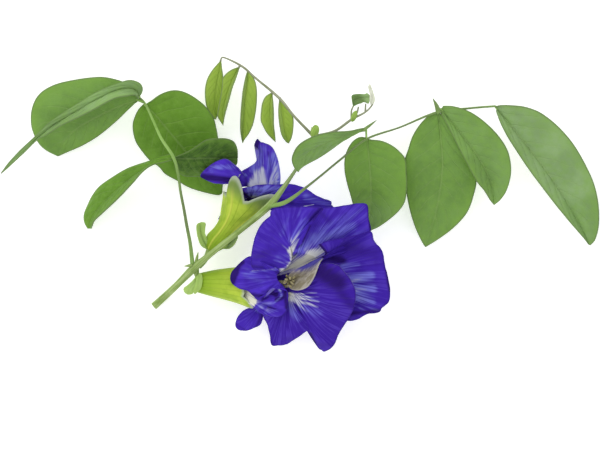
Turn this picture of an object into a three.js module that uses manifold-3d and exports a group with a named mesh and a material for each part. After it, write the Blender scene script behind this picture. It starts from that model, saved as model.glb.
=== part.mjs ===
// Butterfly pea (Clitoria ternatea, the double-flowered form): one cut shoot lying on a table.
// It has a climbing stem with two open flowers at its lowest joint, three pinnate leaves and a growing
// tip. Millimetres. +Z is up from the table, +X runs from the old leaf on the left to the large leaf on
// the right.
// The table is z = 0, and the part's origin is the middle of the space that the shoot covers.

import * as THREE from "three";
import { mergeVertices } from "three/addons/utils/BufferGeometryUtils.js";
import Module from "manifold-3d";

const wasm = await Module();
wasm.setup();

// Driving sizes
const BLADE = 0.6; // thickness of a leaflet, petal or bract
const GAP = 0.3; // free space between two pieces that touch in life
const STEM_SIDES = 10;
const STALK_SIDES = 6;
const STEM_RADII = [1.15, 1.05, 1.5, 0.95, 0.9, 1.3, 0.75, 0.65, 0.95];
const CALYX_WALL = 0.7;
const CLAW_ROOT_WIDTH = 1.3; // a petal's claw where it starts, deep in the calyx
const CLAW_RING = 2.2; // radius of the ring that the claws stand on, inside the calyx

// Colours
const STEM_GREEN = 0x8aa55a;
const LEAF_GREEN = 0x6b9144;
const YOUNG_GREEN = 0x86a346;
const CALYX_GREEN = 0xa8c040;
const PETAL_VIOLET = 0x4526a6;
const KEEL_CREAM = 0xb9b294;
const STAMEN_CREAM = 0xc9bf86;

// The shoot is laid out from a point beside its fork, then moved so that the origin is in its middle.
const FROM_MIDDLE = [0.12, -0.14, 0];

// The joints of the shoot
const CUT_END = [-45.6, -31.9, 0.85];
const LOW_JOINT = [-33.5, -19.5, 11];
const FORK = [-9.6, -1.2, 23];
const HIGH_JOINT = [4.6, 20.5, 17];

const UP = new THREE.Vector3(0, 0, 1);
const vector = (p) => new THREE.Vector3(...p);
const mix = THREE.MathUtils.lerp;

// A smooth curve through points, each [x, y, z].
const through = (points) => new THREE.CatmullRomCurve3(points.map(vector), false, "catmullrom", 0.5);

// A value that eases through the numbers given, as a curve does through its points.
function easedThrough(numbers) {
  const curve = through(numbers.map((n) => [n, 0, 0]));
  return (t) => curve.getPoint(t).x;
}

// The two directions across a tangent: side lies level, to its left, and up stands square to both.
function acrossAxes(tangent) {
  const side = new THREE.Vector3().crossVectors(UP, tangent).normalize();
  return { side, up: new THREE.Vector3().crossVectors(tangent, side) };
}

// Turns a closed geometry into a solid.
function solid(geometry) {
  const bare = new THREE.BufferGeometry()
    .setAttribute("position", geometry.getAttribute("position"))
    .setIndex(geometry.index);
  const merged = mergeVertices(bare, 1e-4);
  return new wasm.Manifold(
    new wasm.Mesh({
      numProp: 3,
      vertProperties: new Float32Array(merged.attributes.position.array),
      triVerts: new Uint32Array(merged.index.array),
    }),
  );
}

const joined = (solids) => solids.reduce((all, one) => all.add(one));

// A cut can leave a loose scrap behind: the piece is what holds the most material.
function largest(cut) {
  return cut.decompose().reduce((best, one) => (one.volume() > best.volume() ? one : best));
}

// The solid that runs through rings of points, each counterclockwise as seen from the last one.
function lofted(rings) {
  const sides = rings[0].length;
  const middle = (ring) => ring.reduce((sum, p) => sum.add(p), new THREE.Vector3()).divideScalar(sides);
  const positions = [
    ...rings.flat(), middle(rings[0]), middle(rings[rings.length - 1]),
  ].flatMap((p) => p.toArray());
  const [first, last] = [rings.length * sides, rings.length * sides + 1];
  const faces = [];
  for (let k = 0; k < sides; k++) {
    const next = (k + 1) % sides;
    faces.push(first, next, k);
    for (let i = 0; i + 1 < rings.length; i++) {
      const [a, b] = [i * sides + k, i * sides + next];
      faces.push(a, b, b + sides, a, b + sides, a + sides);
    }
    const end = (rings.length - 1) * sides;
    faces.push(last, end + k, end + next);
  }
  return solid(
    new THREE.BufferGeometry()
      .setAttribute("position", new THREE.Float32BufferAttribute(positions, 3))
      .setIndex(faces),
  );
}

// A round stalk along a curve, with a radius that eases through the radii given.
function stalk(points, radii, { sides = STALK_SIDES, steps = 2 * (points.length - 1), extra = 0 } = {}) {
  const path = through(points);
  const radiusAt = easedThrough(radii);
  const sections = [];
  for (let i = 0; i <= steps; i++) {
    const t = i / steps;
    const { side, up } = acrossAxes(path.getTangent(t));
    const section = [];
    for (let k = 0; k < sides; k++) {
      const angle = (2 * Math.PI * k) / sides;
      section.push(
        path
          .getPoint(t)
          .addScaledVector(side, (radiusAt(t) + extra) * Math.cos(angle))
          .addScaledVector(up, (radiusAt(t) + extra) * Math.sin(angle)),
      );
    }
    sections.push(section);
  }
  return lofted(sections);
}

// A small rounded body, such as a bud or an anther, lying along a direction.
function bead(at, along, length, width, extra = 0) {
  const ball = new THREE.SphereGeometry(1, 6, 5).scale(
    width / 2 + extra, length / 2 + extra, width / 2 + extra,
  );
  const turn = new THREE.Quaternion().setFromUnitVectors(
    new THREE.Vector3(0, 1, 0), vector(along).normalize(),
  );
  return solid(ball.applyQuaternion(turn).translate(...at));
}

// A thin blade around a middle surface, which gives a point for (u, v), each 0 to 1.
// Both faces are split along the same diagonals, so that they never cross.
function blade(surface, across, along, thickness) {
  const points = [];
  for (let j = 0; j <= along; j++)
    for (let i = 0; i <= across; i++) points.push(surface(i / across, j / along));
  const index = (i, j) => j * (across + 1) + i;
  const at = (i, j) =>
    points[index(THREE.MathUtils.clamp(i, 0, across), THREE.MathUtils.clamp(j, 0, along))];
  const offset = points.map((_, n) => {
    const i = n % (across + 1);
    const j = Math.floor(n / (across + 1));
    const du = at(i + 1, j).clone().sub(at(i - 1, j));
    const dv = at(i, j + 1).clone().sub(at(i, j - 1));
    return du.cross(dv).normalize().multiplyScalar(thickness / 2);
  });
  const count = points.length;
  const positions = [
    ...points.flatMap((p, n) => p.clone().add(offset[n]).toArray()),
    ...points.flatMap((p, n) => p.clone().sub(offset[n]).toArray()),
  ];
  const faces = [];
  for (let j = 0; j < along; j++)
    for (let i = 0; i < across; i++) {
      const [a, b, c, d] = [index(i, j), index(i + 1, j), index(i + 1, j + 1), index(i, j + 1)];
      faces.push(a, b, c, a, c, d);
      faces.push(a + count, c + count, b + count, a + count, d + count, c + count);
    }
  const rim = [];
  for (let i = 0; i < across; i++) rim.push(index(i, 0));
  for (let j = 0; j < along; j++) rim.push(index(across, j));
  for (let i = across; i > 0; i--) rim.push(index(i, along));
  for (let j = along; j > 0; j--) rim.push(index(0, j));
  rim.forEach((p, n) => {
    const q = rim[(n + 1) % rim.length];
    faces.push(p + count, q + count, q, p + count, q, p);
  });
  return solid(
    new THREE.BufferGeometry()
      .setAttribute("position", new THREE.Float32BufferAttribute(positions, 3))
      .setIndex(faces),
  );
}

// Half the width of a leaflet along its rib, as a share of its widest: round at the base, pointed at the tip.
const leafShape = (t) => Math.sin(Math.PI * t ** 0.86) ** mix(0.55, 0.95, t);

// One leaflet or bract. Its rib runs through the points from base to tip. Roll turns it about the rib, from
// roll[0] at the base to roll[1] at the tip, fold lifts (or with a minus sign drops) both halves, all in
// degrees, lean widens the left half by that share, and wave is how far the margin swings up and down.
function leaflet(
  { rib, width, lean = 0, roll = [0, 0], fold = 0, wave = 0, across = 4, along = 9 },
  extra = 0,
) {
  const path = through(rib);
  const least = 0.3;
  return blade(
    (u, v) => {
      const t = mix(0.004, 0.996, v);
      const { side, up } = acrossAxes(path.getTangent(t));
      const turn = THREE.MathUtils.degToRad(mix(roll[0], roll[1], t));
      const level = side.clone().multiplyScalar(Math.cos(turn)).addScaledVector(up, Math.sin(turn));
      const normal = up.clone().multiplyScalar(Math.cos(turn)).addScaledVector(side, -Math.sin(turn));
      const s = 1 - 2 * u;
      const reach = s * (Math.max(least, (width / 2) * (1 + lean * Math.sign(s)) * leafShape(t)) + extra);
      const bend = THREE.MathUtils.degToRad(fold) * Math.min(1, 6 * t);
      const ripple = wave * s * s * Math.sin(3.2 * Math.PI * t + s);
      return path
        .getPoint(t)
        .addScaledVector(level, reach * Math.cos(bend))
        .addScaledVector(normal, Math.abs(reach) * Math.sin(bend) + ripple);
    },
    across,
    along,
    BLADE + 2 * extra,
  );
}

// One petal. The claw is a narrow strip along its route; the blade spreads from the end of the claw to an
// outline, which runs round the edge from the claw's one side to its other. Bulge lifts the middle of the
// blade, and ruffle is how far the edge swings in and out.
function petal(
  { claw, clawWidth = 2.6, outline, bulge = 0.8, ruffle = 0, across = 10, along = 6 },
  extra = 0,
) {
  const route = through(claw);
  const edge = through(outline);
  const clawRows = 3;
  const clawShare = clawRows / (clawRows + along);
  const hub = vector(claw[claw.length - 1]);
  const sideways = vector(outline[outline.length - 1]).sub(vector(outline[0])).normalize();
  const out = edge.getPoint(0.5).sub(hub).normalize();
  const face = new THREE.Vector3().crossVectors(sideways, out).normalize();
  return blade(
    (u, v) => {
      const across01 = u - 0.5;
      if (v < clawShare) {
        const t = v / clawShare;
        const tangent = route.getTangent(t);
        const flat = sideways.clone().addScaledVector(tangent, -sideways.dot(tangent)).normalize();
        return route.getPoint(t).addScaledVector(flat, across01 * mix(CLAW_ROOT_WIDTH, clawWidth, t));
      }
      const r = (v - clawShare) / (1 - clawShare);
      const start = hub.clone().addScaledVector(sideways, across01 * clawWidth);
      const swing = ruffle * r * r * Math.sin(5 * Math.PI * u);
      return start
        .lerp(edge.getPoint(u), r * (1 + extra / 10))
        .addScaledVector(face, bulge * Math.sin(Math.PI * r) + swing);
    },
    across,
    clawRows + along,
    BLADE + 2 * extra,
  );
}

// A calyx: a funnel that opens from its base to five pointed lobes, hollow down to its floor.
// The axis is [base, mouth], and lobes stand past the mouth by their length.
function calyx({ axis, radii, lobe, turn }, extra = 0) {
  const [base, mouth] = axis.map(vector);
  const tangent = mouth.clone().sub(base);
  const tube = tangent.length();
  tangent.normalize();
  const { side, up } = acrossAxes(tangent);
  const radiusAt = easedThrough(radii);
  const sides = 20;
  const ring = (v, inset, lift) => {
    const points = [];
    for (let k = 0; k < sides; k++) {
      const angle = (2 * Math.PI * k) / sides;
      const tooth = Math.abs(Math.sin(2.5 * (angle - THREE.MathUtils.degToRad(turn))));
      const height = v * tube + lobe * tooth * Math.max(0, v - 0.5) * 2;
      const radius = radiusAt(Math.min(1, height / (tube + lobe))) - inset;
      points.push(
        base
          .clone()
          .addScaledVector(tangent, height + lift)
          .addScaledVector(side, radius * Math.cos(angle))
          .addScaledVector(up, radius * Math.sin(angle)),
      );
    }
    return points;
  };
  const outside = [0, 0.2, 0.5, 0.75, 1].map((v) => ring(v, -extra, 0));
  const inside = [1, 0.75, 0.5, 0.15].map((v) => ring(v, CALYX_WALL + extra, 0));
  return lofted([...outside, ...inside]);
}

// Every piece gives way to the pieces placed before it, by the free space GAP, and stops at the table.
// grow(extra) builds the piece, that much fatter all round.
const table = solid(new THREE.BoxGeometry(300, 300, 20).translate(0, 0, -10));
const placed = [];
function place(name, colour, grow, roughness = 0.6) {
  const shape = placed.reduce((left, one) => left.subtract(one.room), grow(0).subtract(table));
  const kept = largest(shape);
  placed.push({ name, colour, roughness, shape: kept, room: grow(GAP).add(kept) });
}

// Stem: from the cut end over the low joint, where the flowers stand, and the fork, to the high joint
const stemPoints = [
  CUT_END,
  [-42.9, -29.5, 1.2],
  [-38.9, -25.6, 5.6],
  LOW_JOINT,
  [-26.4, -14.3, 16],
  [-17.7, -7.8, 20.2],
  FORK,
  [-4.6, 5, 22.6],
  [0.6, 13.6, 20],
  HIGH_JOINT,
];
const stipules = [
  [[-33.9, -18.4, 11.6], [-35.9, -19.4, 12.6]],
  [[-32.6, -17.6, 11.6], [-31.6, -14.9, 12.4]],
  [[4, 21, 17.6], [3.6, 23.8, 18.6]],
];
place("main_stem", STEM_GREEN, (extra) =>
  joined([
    stalk(stemPoints, STEM_RADII, { sides: STEM_SIDES, extra }),
    ...stipules.map((ends) => stalk(ends, [0.55, 0.2], { sides: 5, extra })),
  ]),
);

// Front flower: a calyx on a short pedicel with two round bracteoles
const frontAxis = [[-31.6, -24.5, 9], [-20.8, -25.3, 9.4]];
place("front_calyx", CALYX_GREEN, (extra) =>
  joined([
    calyx({ axis: frontAxis, radii: [2.6, 3.6, 4.4, 5.2, 6.2], lobe: 5.6, turn: 18 }, extra),
    stalk([[-32.9, -21.4, 10], [-33.4, -23.2, 9.4], [-31, -24.5, 9]], [0.9, 0.9, 1.1], { extra }),
    leaflet(
      {
        rib: [[-32.3, -24.2, 12.6], [-32.6, -26.2, 10.5], [-31.2, -28.3, 8.6]],
        width: 6, roll: [60, 60], fold: 20, along: 5,
      },
      extra,
    ),
    leaflet(
      {
        rib: [[-32.8, -24.4, 9.2], [-34.2, -26, 8.8], [-35.3, -28, 8.2]],
        width: 4.2, fold: 16, along: 5,
      },
      extra,
    ),
  ]),
);

// Side flower: its calyx lies under the stem and opens away from the front flower
const sideAxis = [[-27.9, -14, 8.8], [-19.8, -0.9, 10.4]];
place("side_calyx", CALYX_GREEN, (extra) =>
  joined([
    calyx({ axis: sideAxis, radii: [2.2, 3.3, 4.2, 5.6, 8], lobe: 7.8, turn: 36 }, extra),
    stalk([[-31.8, -19.3, 10], [-30.4, -17, 9], [-28, -13.4, 8.7]], [0.9, 0.85, 1.1], { extra }),
    leaflet(
      {
        rib: [[-29.5, -14.6, 9.6], [-31.9, -10.4, 10.4], [-30.2, -5.6, 9.6]],
        width: 5, roll: [65, 65], fold: 24, along: 5,
      },
      extra,
    ),
    leaflet(
      {
        rib: [[-26.7, -13.8, 7.6], [-23.1, -13.2, 7], [-19.3, -10.4, 8]],
        width: 4.8, roll: [10, 10], fold: 20, along: 5,
      },
      extra,
    ),
  ]),
);

// A claw starts inside the calyx at its own place on a ring round the axis, in degrees from the level.
function clawFrom([base, mouth], degrees, depth = 0.45, ring = CLAW_RING) {
  const angle = THREE.MathUtils.degToRad(degrees);
  const { side, up } = acrossAxes(vector(mouth).sub(vector(base)).normalize());
  const at = (t) =>
    vector(base)
      .lerp(vector(mouth), t)
      .addScaledVector(side, ring * Math.cos(angle))
      .addScaledVector(up, ring * Math.sin(angle))
      .toArray();
  return [at(depth), at(1.1)];
}

// Front petals: double-flowered, so five broad petals face the viewer instead of one, with two small ones
const petals = {
  front_petal_low: {
    claw: [...clawFrom(frontAxis, 200), [-8.6, -26.6, 11], [-3.2, -26.2, 14.4]],
    outline: [
      [-9.2, -27.8, 11.6], [-11.8, -34, 10.4], [-9.8, -38.8, 7.6], [-8.4, -43.8, 4], [-2.4, -42.4, 7],
      [3.2, -38.4, 11.6], [4.8, -40.8, 9.6], [6, -45, 5.6], [10.2, -44.8, 7.4], [13.2, -38.4, 14.4],
      [16.6, -34, 23], [17, -28.4, 26], [14.6, -22.6, 27], [10.6, -18.6, 25.6],
    ],
    clawWidth: 5.4,
    bulge: -1.4,
    ruffle: 0.5,
    across: 14,
  },
  front_petal_right: {
    claw: [...clawFrom(frontAxis, 270), [-5, -24.8, 8.8], [0.4, -24, 13.4]],
    clawWidth: 5,
    outline: [
      [6.4, -13.4, 21.4], [13.4, -10.6, 22.4], [21.6, -8.8, 22], [25.6, -14.6, 22.4], [27.6, -21.4, 22],
      [27.6, -29.6, 20.6], [24.8, -33.4, 19.4], [18.6, -35.6, 17.6], [11.4, -34.6, 13.4],
    ],
    bulge: -1.2,
    ruffle: 0.4,
  },
  front_petal_top: {
    claw: [...clawFrom(frontAxis, -35), [-6.6, -22, 9.4], [-1.4, -20.8, 13.8]],
    clawWidth: 4.6,
    outline: [
      [1, -9.4, 20.2], [5.6, -3.4, 22], [11.2, -0.6, 22.6], [18.4, 0.4, 22.2], [21.4, -3.6, 21.4],
      [22, -9.4, 19.4], [17, -14.6, 17.6], [8.6, -16.8, 16.4],
    ],
    bulge: -1,
    ruffle: 0.3,
  },
  front_petal_upper_left: {
    claw: [...clawFrom(frontAxis, 25), [-8.6, -21.8, 11.6], [-4.2, -20.2, 15.4]],
    clawWidth: 5,
    outline: [
      [-12.4, -19.6, 21.6], [-14.6, -12.4, 23.4], [-12.2, -6.6, 24.4], [-8.6, -1.8, 24.8],
      [-2.6, -0.6, 25.4], [3, -0.8, 25.6], [7.4, -1.4, 25.6], [4.4, -6.8, 24.8], [0.6, -12.6, 22.6],
    ],
    bulge: -1,
    ruffle: 0.3,
  },
  front_petal_left: {
    claw: [...clawFrom(frontAxis, 90), [-11.6, -25, 13], [-8.4, -24.8, 16.2]],
    outline: [
      [-6.4, -27.8, 17.6], [-9.2, -30, 16.8], [-11.6, -31.4, 15.8], [-15.6, -28.8, 16.2],
      [-20.2, -25, 17], [-21.4, -21.6, 17.8], [-19.6, -18.6, 19], [-15.4, -16.2, 20.4],
      [-10.4, -18.6, 19.8], [-6.4, -20.2, 18.6],
    ],
    bulge: 1,
    ruffle: 0.2,
    along: 5,
  },
  front_petal_small: {
    claw: [...clawFrom(frontAxis, 145), [-12, -27.8, 12.6], [-8.2, -28.8, 15.2]],
    outline: [
      [-11, -29.8, 14.8], [-11.8, -33.4, 15.2], [-10, -37, 14.6], [-6.8, -37.2, 15.4],
      [-4.4, -34.8, 16.6], [-4, -31.2, 17.6], [-5.6, -29, 17],
    ],
    bulge: 0.6,
    ruffle: 0.5,
    across: 8,
    along: 4,
  },
  front_petal_lowest: {
    claw: [...clawFrom(frontAxis, 175, 0.6, 3), [-15.6, -30, 9.6], [-12.4, -33, 9.2]],
    outline: [
      [-11.2, -35.8, 8.6], [-15.4, -39.2, 7.6], [-18, -39.4, 7.2], [-19.8, -37.4, 7.6], [-19.6, -35, 8.6],
      [-17, -33, 9.4], [-14, -31.9, 9.6],
    ],
    bulge: 0.5,
    across: 8,
    along: 4,
  },
  side_petal_tall: {
    claw: [...clawFrom(sideAxis, 0, 0.6), [-14.4, 3.2, 10.6], [-12, 5.4, 11]],
    outline: [
      [-6, 5.4, 11.4], [-6, 11.2, 13.6], [-7.6, 15.6, 15.2], [-10.4, 19.2, 16.2], [-13.2, 20.4, 16.4],
      [-14, 16.6, 15.4], [-15.2, 12.4, 14.6], [-17.4, 10, 13.4], [-17, 5, 11.8],
    ],
    clawWidth: 3.4,
    bulge: 0.8,
    ruffle: 0.3,
    along: 5,
  },
  side_petal_long: {
    claw: [...clawFrom(sideAxis, -70, 0.6), [-17.2, 0.8, 9], [-14.6, 1.4, 9.6]],
    outline: [
      [-11, -1.6, 8.6], [-4, -2.2, 8.8], [4.6, -2.6, 9.6], [10, -1.9, 10.6], [9.4, 0.6, 11.8],
      [6, 2.8, 12.8], [0, 5.6, 13.6], [-6, 6.6, 13.6], [-12, 6.4, 13.4], [-16.8, 5.6, 13],
    ],
    bulge: -0.8,
    ruffle: 0.3,
    along: 5,
  },
  side_petal_left: {
    claw: [...clawFrom(sideAxis, 180, 0.6), [-20.6, 6, 13.4], [-19.4, 8.4, 14.4]],
    outline: [
      [-18.8, 11, 15.4], [-21.2, 12.8, 15.4], [-24.4, 13, 15], [-28, 11.8, 14.4], [-31.4, 9.2, 13.6],
      [-27.8, 7.4, 13.4], [-23, 6.4, 13.6],
    ],
    bulge: 0.6,
    ruffle: 0.3,
    across: 8,
    along: 4,
  },
};
for (const [name, shape] of Object.entries(petals))
  place(name, PETAL_VIOLET, (extra) => petal(shape, extra), 0.7);

// The keel stands folded in the middle of the front flower, beside the stamens
place("front_keel", KEEL_CREAM, (extra) =>
  joined([
    leaflet(
      {
        rib: [[-3.4, -24.2, 15.8], [0.4, -21.6, 20.4], [5.4, -16.8, 23.4]],
        width: 9, roll: [-24, -34], fold: 22, along: 6,
      },
      extra,
    ),
    stalk(
      [[-24, -25, 8.6], [-10, -25, 9.6], [-5.2, -24.6, 12.2], [-2.8, -24, 16.6]],
      [0.4, 0.45, 0.45, 0.4],
      { extra, sides: 5 },
    ),
  ]),
);
place("front_stamens", STAMEN_CREAM, (extra) =>
  joined([
    stalk(
      [[-24, -24.8, 10], [-12, -24.4, 10.6], [-6.6, -23.6, 13], [-5.2, -23.2, 17]],
      [0.45, 0.5, 0.5, 0.45],
      { extra, sides: 5 },
    ),
    ...[0, 1, 2, 3].map((k) =>
      bead(
        [-5.2 + 0.8 * Math.cos(1.6 * k), -23.2 + 0.8 * Math.sin(1.6 * k), 17.2],
        [Math.cos(1.6 * k), Math.sin(1.6 * k), 0.8], 1.8, 0.9, extra,
      ),
    ),
  ]),
);

// Leaves: a rachis with its leaflets joined to it by short stalks
function leaf(rachis, radii, leaflets, spikes = []) {
  return (extra) =>
    joined([
      stalk(rachis, radii, { extra }),
      ...leaflets.map(({ from, rib }) => {
        const into = rib[0].map((x, i) => mix(x, rib[1][i], 0.06));
        return stalk([from, rib[0], into], [0.5, 0.5, 0.45], { steps: 2, sides: 5, extra });
      }),
      ...leaflets.map((one) => leaflet(one, extra)),
      ...spikes.map((ends) => stalk(ends, [0.42, 0.2], { sides: 5, extra })),
    ]);
}

const leftRachis = [
  [-33.4, -19, 11.4],
  [-34.6, -12, 12.8],
  [-36.2, -1.9, 15],
  [-37.5, 6.5, 17],
  [-39.4, 14.6, 18.2],
  [-43, 20.4, 18],
  [-45.4, 25.6, 17],
  [-48, 31, 15.4],
  [-50, 33.2, 14.6],
];
place("left_leaf", LEAF_GREEN, leaf(leftRachis, [0.75, 0.66, 0.62, 0.6, 0.62, 0.5, 0.48, 0.46, 0.4], [
  {
    from: [-39.4, 14.6, 18.2],
    rib: [
      [-41.2, 14.2, 17.8], [-46.8, 12.2, 16.6], [-53.8, 7.4, 12.6], [-59.5, 3, 8.4], [-64.6, -2.6, 4],
      [-65.8, -7.9, 0.6],
    ],
    width: 17, roll: [78, 62], fold: 6,
  },
  {
    from: [-39, 13.6, 18.2],
    rib: [[-38.2, 13.8, 18.2], [-28.5, 14.3, 15], [-18.8, 10.6, 10]],
    width: 17, roll: [40, 40], fold: 6,
  },
  {
    from: [-47.6, 30.4, 15.4],
    rib: [[-47.6, 30.6, 14.6], [-37.4, 19.6, 7.6], [-24.4, 3.4, 1.4]],
    width: 28, fold: 4, wave: 0.6,
  },
  {
    from: [-48.6, 31.6, 15.2],
    rib: [[-50.2, 32.2, 14], [-62.6, 26.6, 10.2], [-72.8, 21.6, 5], [-75.6, 14.4, 0.2]],
    width: 22, lean: -0.36, roll: [4, 4], fold: 6, wave: 0.4,
  },
  {
    from: [-50, 33.2, 14.6],
    rib: [
      [-49.9, 33.6, 15.6], [-53.4, 35.4, 18.6], [-59.8, 32.8, 20.2], [-70.7, 27.3, 17],
      [-82.8, 19.8, 9.6], [-93, 9, 0.1],
    ],
    width: 14, roll: [58, 98], fold: 5,
  },
]));

const rightRachis = [
  [-9.4, -1, 23.4],
  [-4, 0.8, 24.6],
  [3.7, 6.5, 25],
  [12.4, 13.6, 24.2],
  [20.5, 20.2, 22.4],
  [31, 24.5, 20.8],
  [42.5, 28.5, 19],
  [52.7, 29.9, 18],
  [60.5, 30.3, 17],
];
place("right_leaf", LEAF_GREEN, leaf(rightRachis, [0.8, 0.66, 0.62, 0.6, 0.62, 0.5, 0.55, 0.45, 0.42], [
  {
    from: [20.5, 20.2, 22.4],
    rib: [[19, 22.8, 25], [10, 19.7, 29.4], [1.9, 15.6, 29.6], [-1.8, 11.2, 25]],
    width: 15, roll: [-70, -56], fold: 5,
  },
  {
    from: [20.9, 20.1, 22.2],
    rib: [[20.9, 19.6, 21.4], [23.6, 5.6, 14.4], [20, -10.8, 5]],
    width: 21, fold: 6, wave: 0.5,
  },
  {
    from: [42.3, 28.4, 18.8],
    rib: [[42.2, 28, 18], [43.8, 7.6, 9.6], [38.7, -13.4, 0.4]],
    width: 24.5, fold: 4, wave: 0.6,
  },
  {
    from: [43, 28.6, 19],
    rib: [[43.6, 29.4, 19], [54.4, 17.4, 17], [60.2, -0.2, 9]],
    width: 19, roll: [-18, -18], fold: 16,
  },
  {
    from: [60.5, 30.3, 17],
    rib: [[61, 30.2, 16.6], [71.6, 18.4, 14], [81.2, 6.4, 8.6], [87, -4.2, 3.2], [90, -13, 0.1]],
    width: 18.6, roll: [-24, -24], fold: 24, wave: 0.3,
  },
], [
  [[19.6, 22.6, 24], [23.4, 25.6, 25.6]],
  [[42.4, 28.6, 19.2], [41.2, 32.6, 21]],
]));

const youngRachis = [
  [4.2, 20.9, 17],
  [-1.9, 27.3, 16.4],
  [-6.5, 32.9, 14.6],
  [-13.9, 39.2, 11],
  [-18, 42.8, 8.8],
  [-23.6, 45.6, 6],
  [-24.8, 44.8, 5.4],
];
place("young_leaf", YOUNG_GREEN, leaf(youngRachis, [0.55, 0.45, 0.42, 0.4, 0.38, 0.34, 0.34], [
  {
    from: [-24.8, 44.8, 5.4],
    rib: [[-24.9, 44, 5.2], [-27.4, 34.8, 3.6], [-26.8, 25.4, 0.2]],
    width: 6.8, roll: [-20, -20], fold: 30, along: 7,
  },
  {
    from: [-18.6, 43, 8.6],
    rib: [[-18.8, 42.2, 8.4], [-21.8, 34, 7.4], [-23.8, 24.6, 5.4]],
    width: 6.8, roll: [35, 35], fold: 30, along: 7,
  },
  {
    from: [-15.6, 40.8, 10.2],
    rib: [[-15.8, 40, 10], [-16.6, 30.4, 8.8], [-17.6, 19.2, 6.4]],
    width: 7.4, roll: [-22, -22], fold: 30, along: 7,
  },
  {
    from: [-8.6, 34.6, 13.8],
    rib: [[-8.8, 33.8, 13.6], [-10.2, 27, 13], [-8, 19.8, 11.4]],
    width: 5.8, roll: [-25, -25], fold: 32, along: 7,
  },
  {
    from: [-6.3, 32.7, 14.4],
    rib: [[-6.1, 32, 14.2], [-4.2, 26, 14], [-3.4, 19, 13]],
    width: 6.2, roll: [28, 28], fold: 30, along: 7,
  },
]));

// Growing tip: the last length of stem, with a folded young leaf, two buds and a thread-like end
const tipPath = [
  [4.8, 20.9, 17.2],
  [9.9, 23, 18.4],
  [16.1, 27, 19],
  [20.5, 29.8, 19.4],
  [22.7, 32.2, 19.6],
  [22, 36.2, 19.8],
];
place("shoot_tip", YOUNG_GREEN, (extra) =>
  joined([
    stalk(tipPath, [0.62, 0.5, 0.42, 0.38, 0.34, 0.22], { extra }),
    stalk([[16, 27, 19], [15.8, 29.6, 19.6], [16.6, 31.4, 20]], [0.35, 0.3, 0.3], { sides: 5, extra }),
    leaflet(
      {
        rib: [[16.2, 31, 20], [18, 32.6, 20.4], [21.2, 32.2, 20]],
        width: 4.6, roll: [20, 20], fold: 36, along: 5,
      },
      extra,
    ),
    bead([17.3, 28.4, 19.4], [0.4, 1, 0.2], 3.4, 2, extra),
    bead([4.6, 22.6, 18.4], [0.3, 1, 0.3], 4, 2.4, extra),
  ]),
);

const shoot = new THREE.Group();
for (const { name, colour, roughness, shape } of placed) {
  const { numVert, numProp, vertProperties, triVerts } = shape.getMesh();
  const positions = new Float32Array(numVert * 3);
  for (let i = 0; i < numVert; i++) positions.set(
    vertProperties.subarray(i * numProp, i * numProp + 3), i * 3,
  );
  const geometry = new THREE.BufferGeometry()
    .setAttribute("position", new THREE.BufferAttribute(positions, 3))
    .setIndex(new THREE.BufferAttribute(triVerts, 1))
    .translate(...FROM_MIDDLE);
  const mesh = new THREE.Mesh(
    geometry,
    new THREE.MeshStandardMaterial({ color: colour, roughness, metalness: 0 }),
  );
  mesh.name = name;
  shoot.add(mesh);
}
export default shoot;
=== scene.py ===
"""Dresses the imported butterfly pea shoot: fine leaves, petals, calyces, stamens and stem on the CAD frame."""

import bisect
import math

import bmesh
import bpy
from bpy.props import FloatProperty, FloatVectorProperty, PointerProperty
from mathutils import Matrix, Vector, noise


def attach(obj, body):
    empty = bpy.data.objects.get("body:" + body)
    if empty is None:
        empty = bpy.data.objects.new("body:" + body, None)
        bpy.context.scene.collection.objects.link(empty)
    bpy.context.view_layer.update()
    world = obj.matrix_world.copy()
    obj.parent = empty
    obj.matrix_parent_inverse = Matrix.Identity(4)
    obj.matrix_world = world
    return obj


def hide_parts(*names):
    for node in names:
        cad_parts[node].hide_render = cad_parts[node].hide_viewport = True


bl_info = {
    "name": "Butterfly Pea Shoot",
    "version": (1, 0, 0),
    "blender": (4, 5, 0),
    "location": "View3D > Sidebar > Pea Shoot",
    "description": "Dresses a cut shoot of double butterfly pea with its leaves, flowers and stem",
    "category": "Add Mesh",
}

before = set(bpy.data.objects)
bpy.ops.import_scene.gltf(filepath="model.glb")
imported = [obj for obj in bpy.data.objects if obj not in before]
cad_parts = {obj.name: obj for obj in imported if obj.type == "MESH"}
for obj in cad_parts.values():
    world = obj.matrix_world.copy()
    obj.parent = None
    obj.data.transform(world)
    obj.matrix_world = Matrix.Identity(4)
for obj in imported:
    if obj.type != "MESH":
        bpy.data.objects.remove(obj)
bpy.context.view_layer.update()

# The shoot's own numbers are the ones of its source, in millimetres. Each finished point is moved by
# FROM_MIDDLE and turned to metres.
MM = 0.001
FROM_MIDDLE = Vector((0.12, -0.14, 0))
UP = Vector((0, 0, 1))

# The stem, from its cut end to its tip
STEM_POINTS = (
    (-45.6, -31.9, 0.85),
    (-42.9, -29.5, 1.2),
    (-38.8, -25.7, 5.6),
    (-33, -20, 11),
    (-26.3, -14.4, 16),
    (-17.8, -7.6, 20.2),
    (-9.9, -0.9, 23),
    (-5, 5.2, 22.6),
    (0.6, 13.6, 20),
    (4.6, 20.5, 17),
)
STEM_RADII = (1.15, 1.1, 1.08, 1.05, 1.25, 0.9, 0.86, 0.92, 1.08, 0.86, 0.52, 0.52, 0.8)
# How grey the stem is along it, and the knots of its low and its high joint, as shares of its length
STEM_TONES = (0, 0, 0, 0, 0, 0, 0, 0.5, 0.9, 0.9)
STEM_KNOTS = (0.335, 0.667)
# Each stipule from its foot to its tip
STIPULES = (
    ((-33.4, -19, 11.8), (-35.9, -19.3, 12.6)),
    ((-32.3, -18.2, 11.8), (-31.6, -14.9, 12.4)),
    ((4, 21, 17.6), (3.6, 23.8, 18.6)),
)

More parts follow.
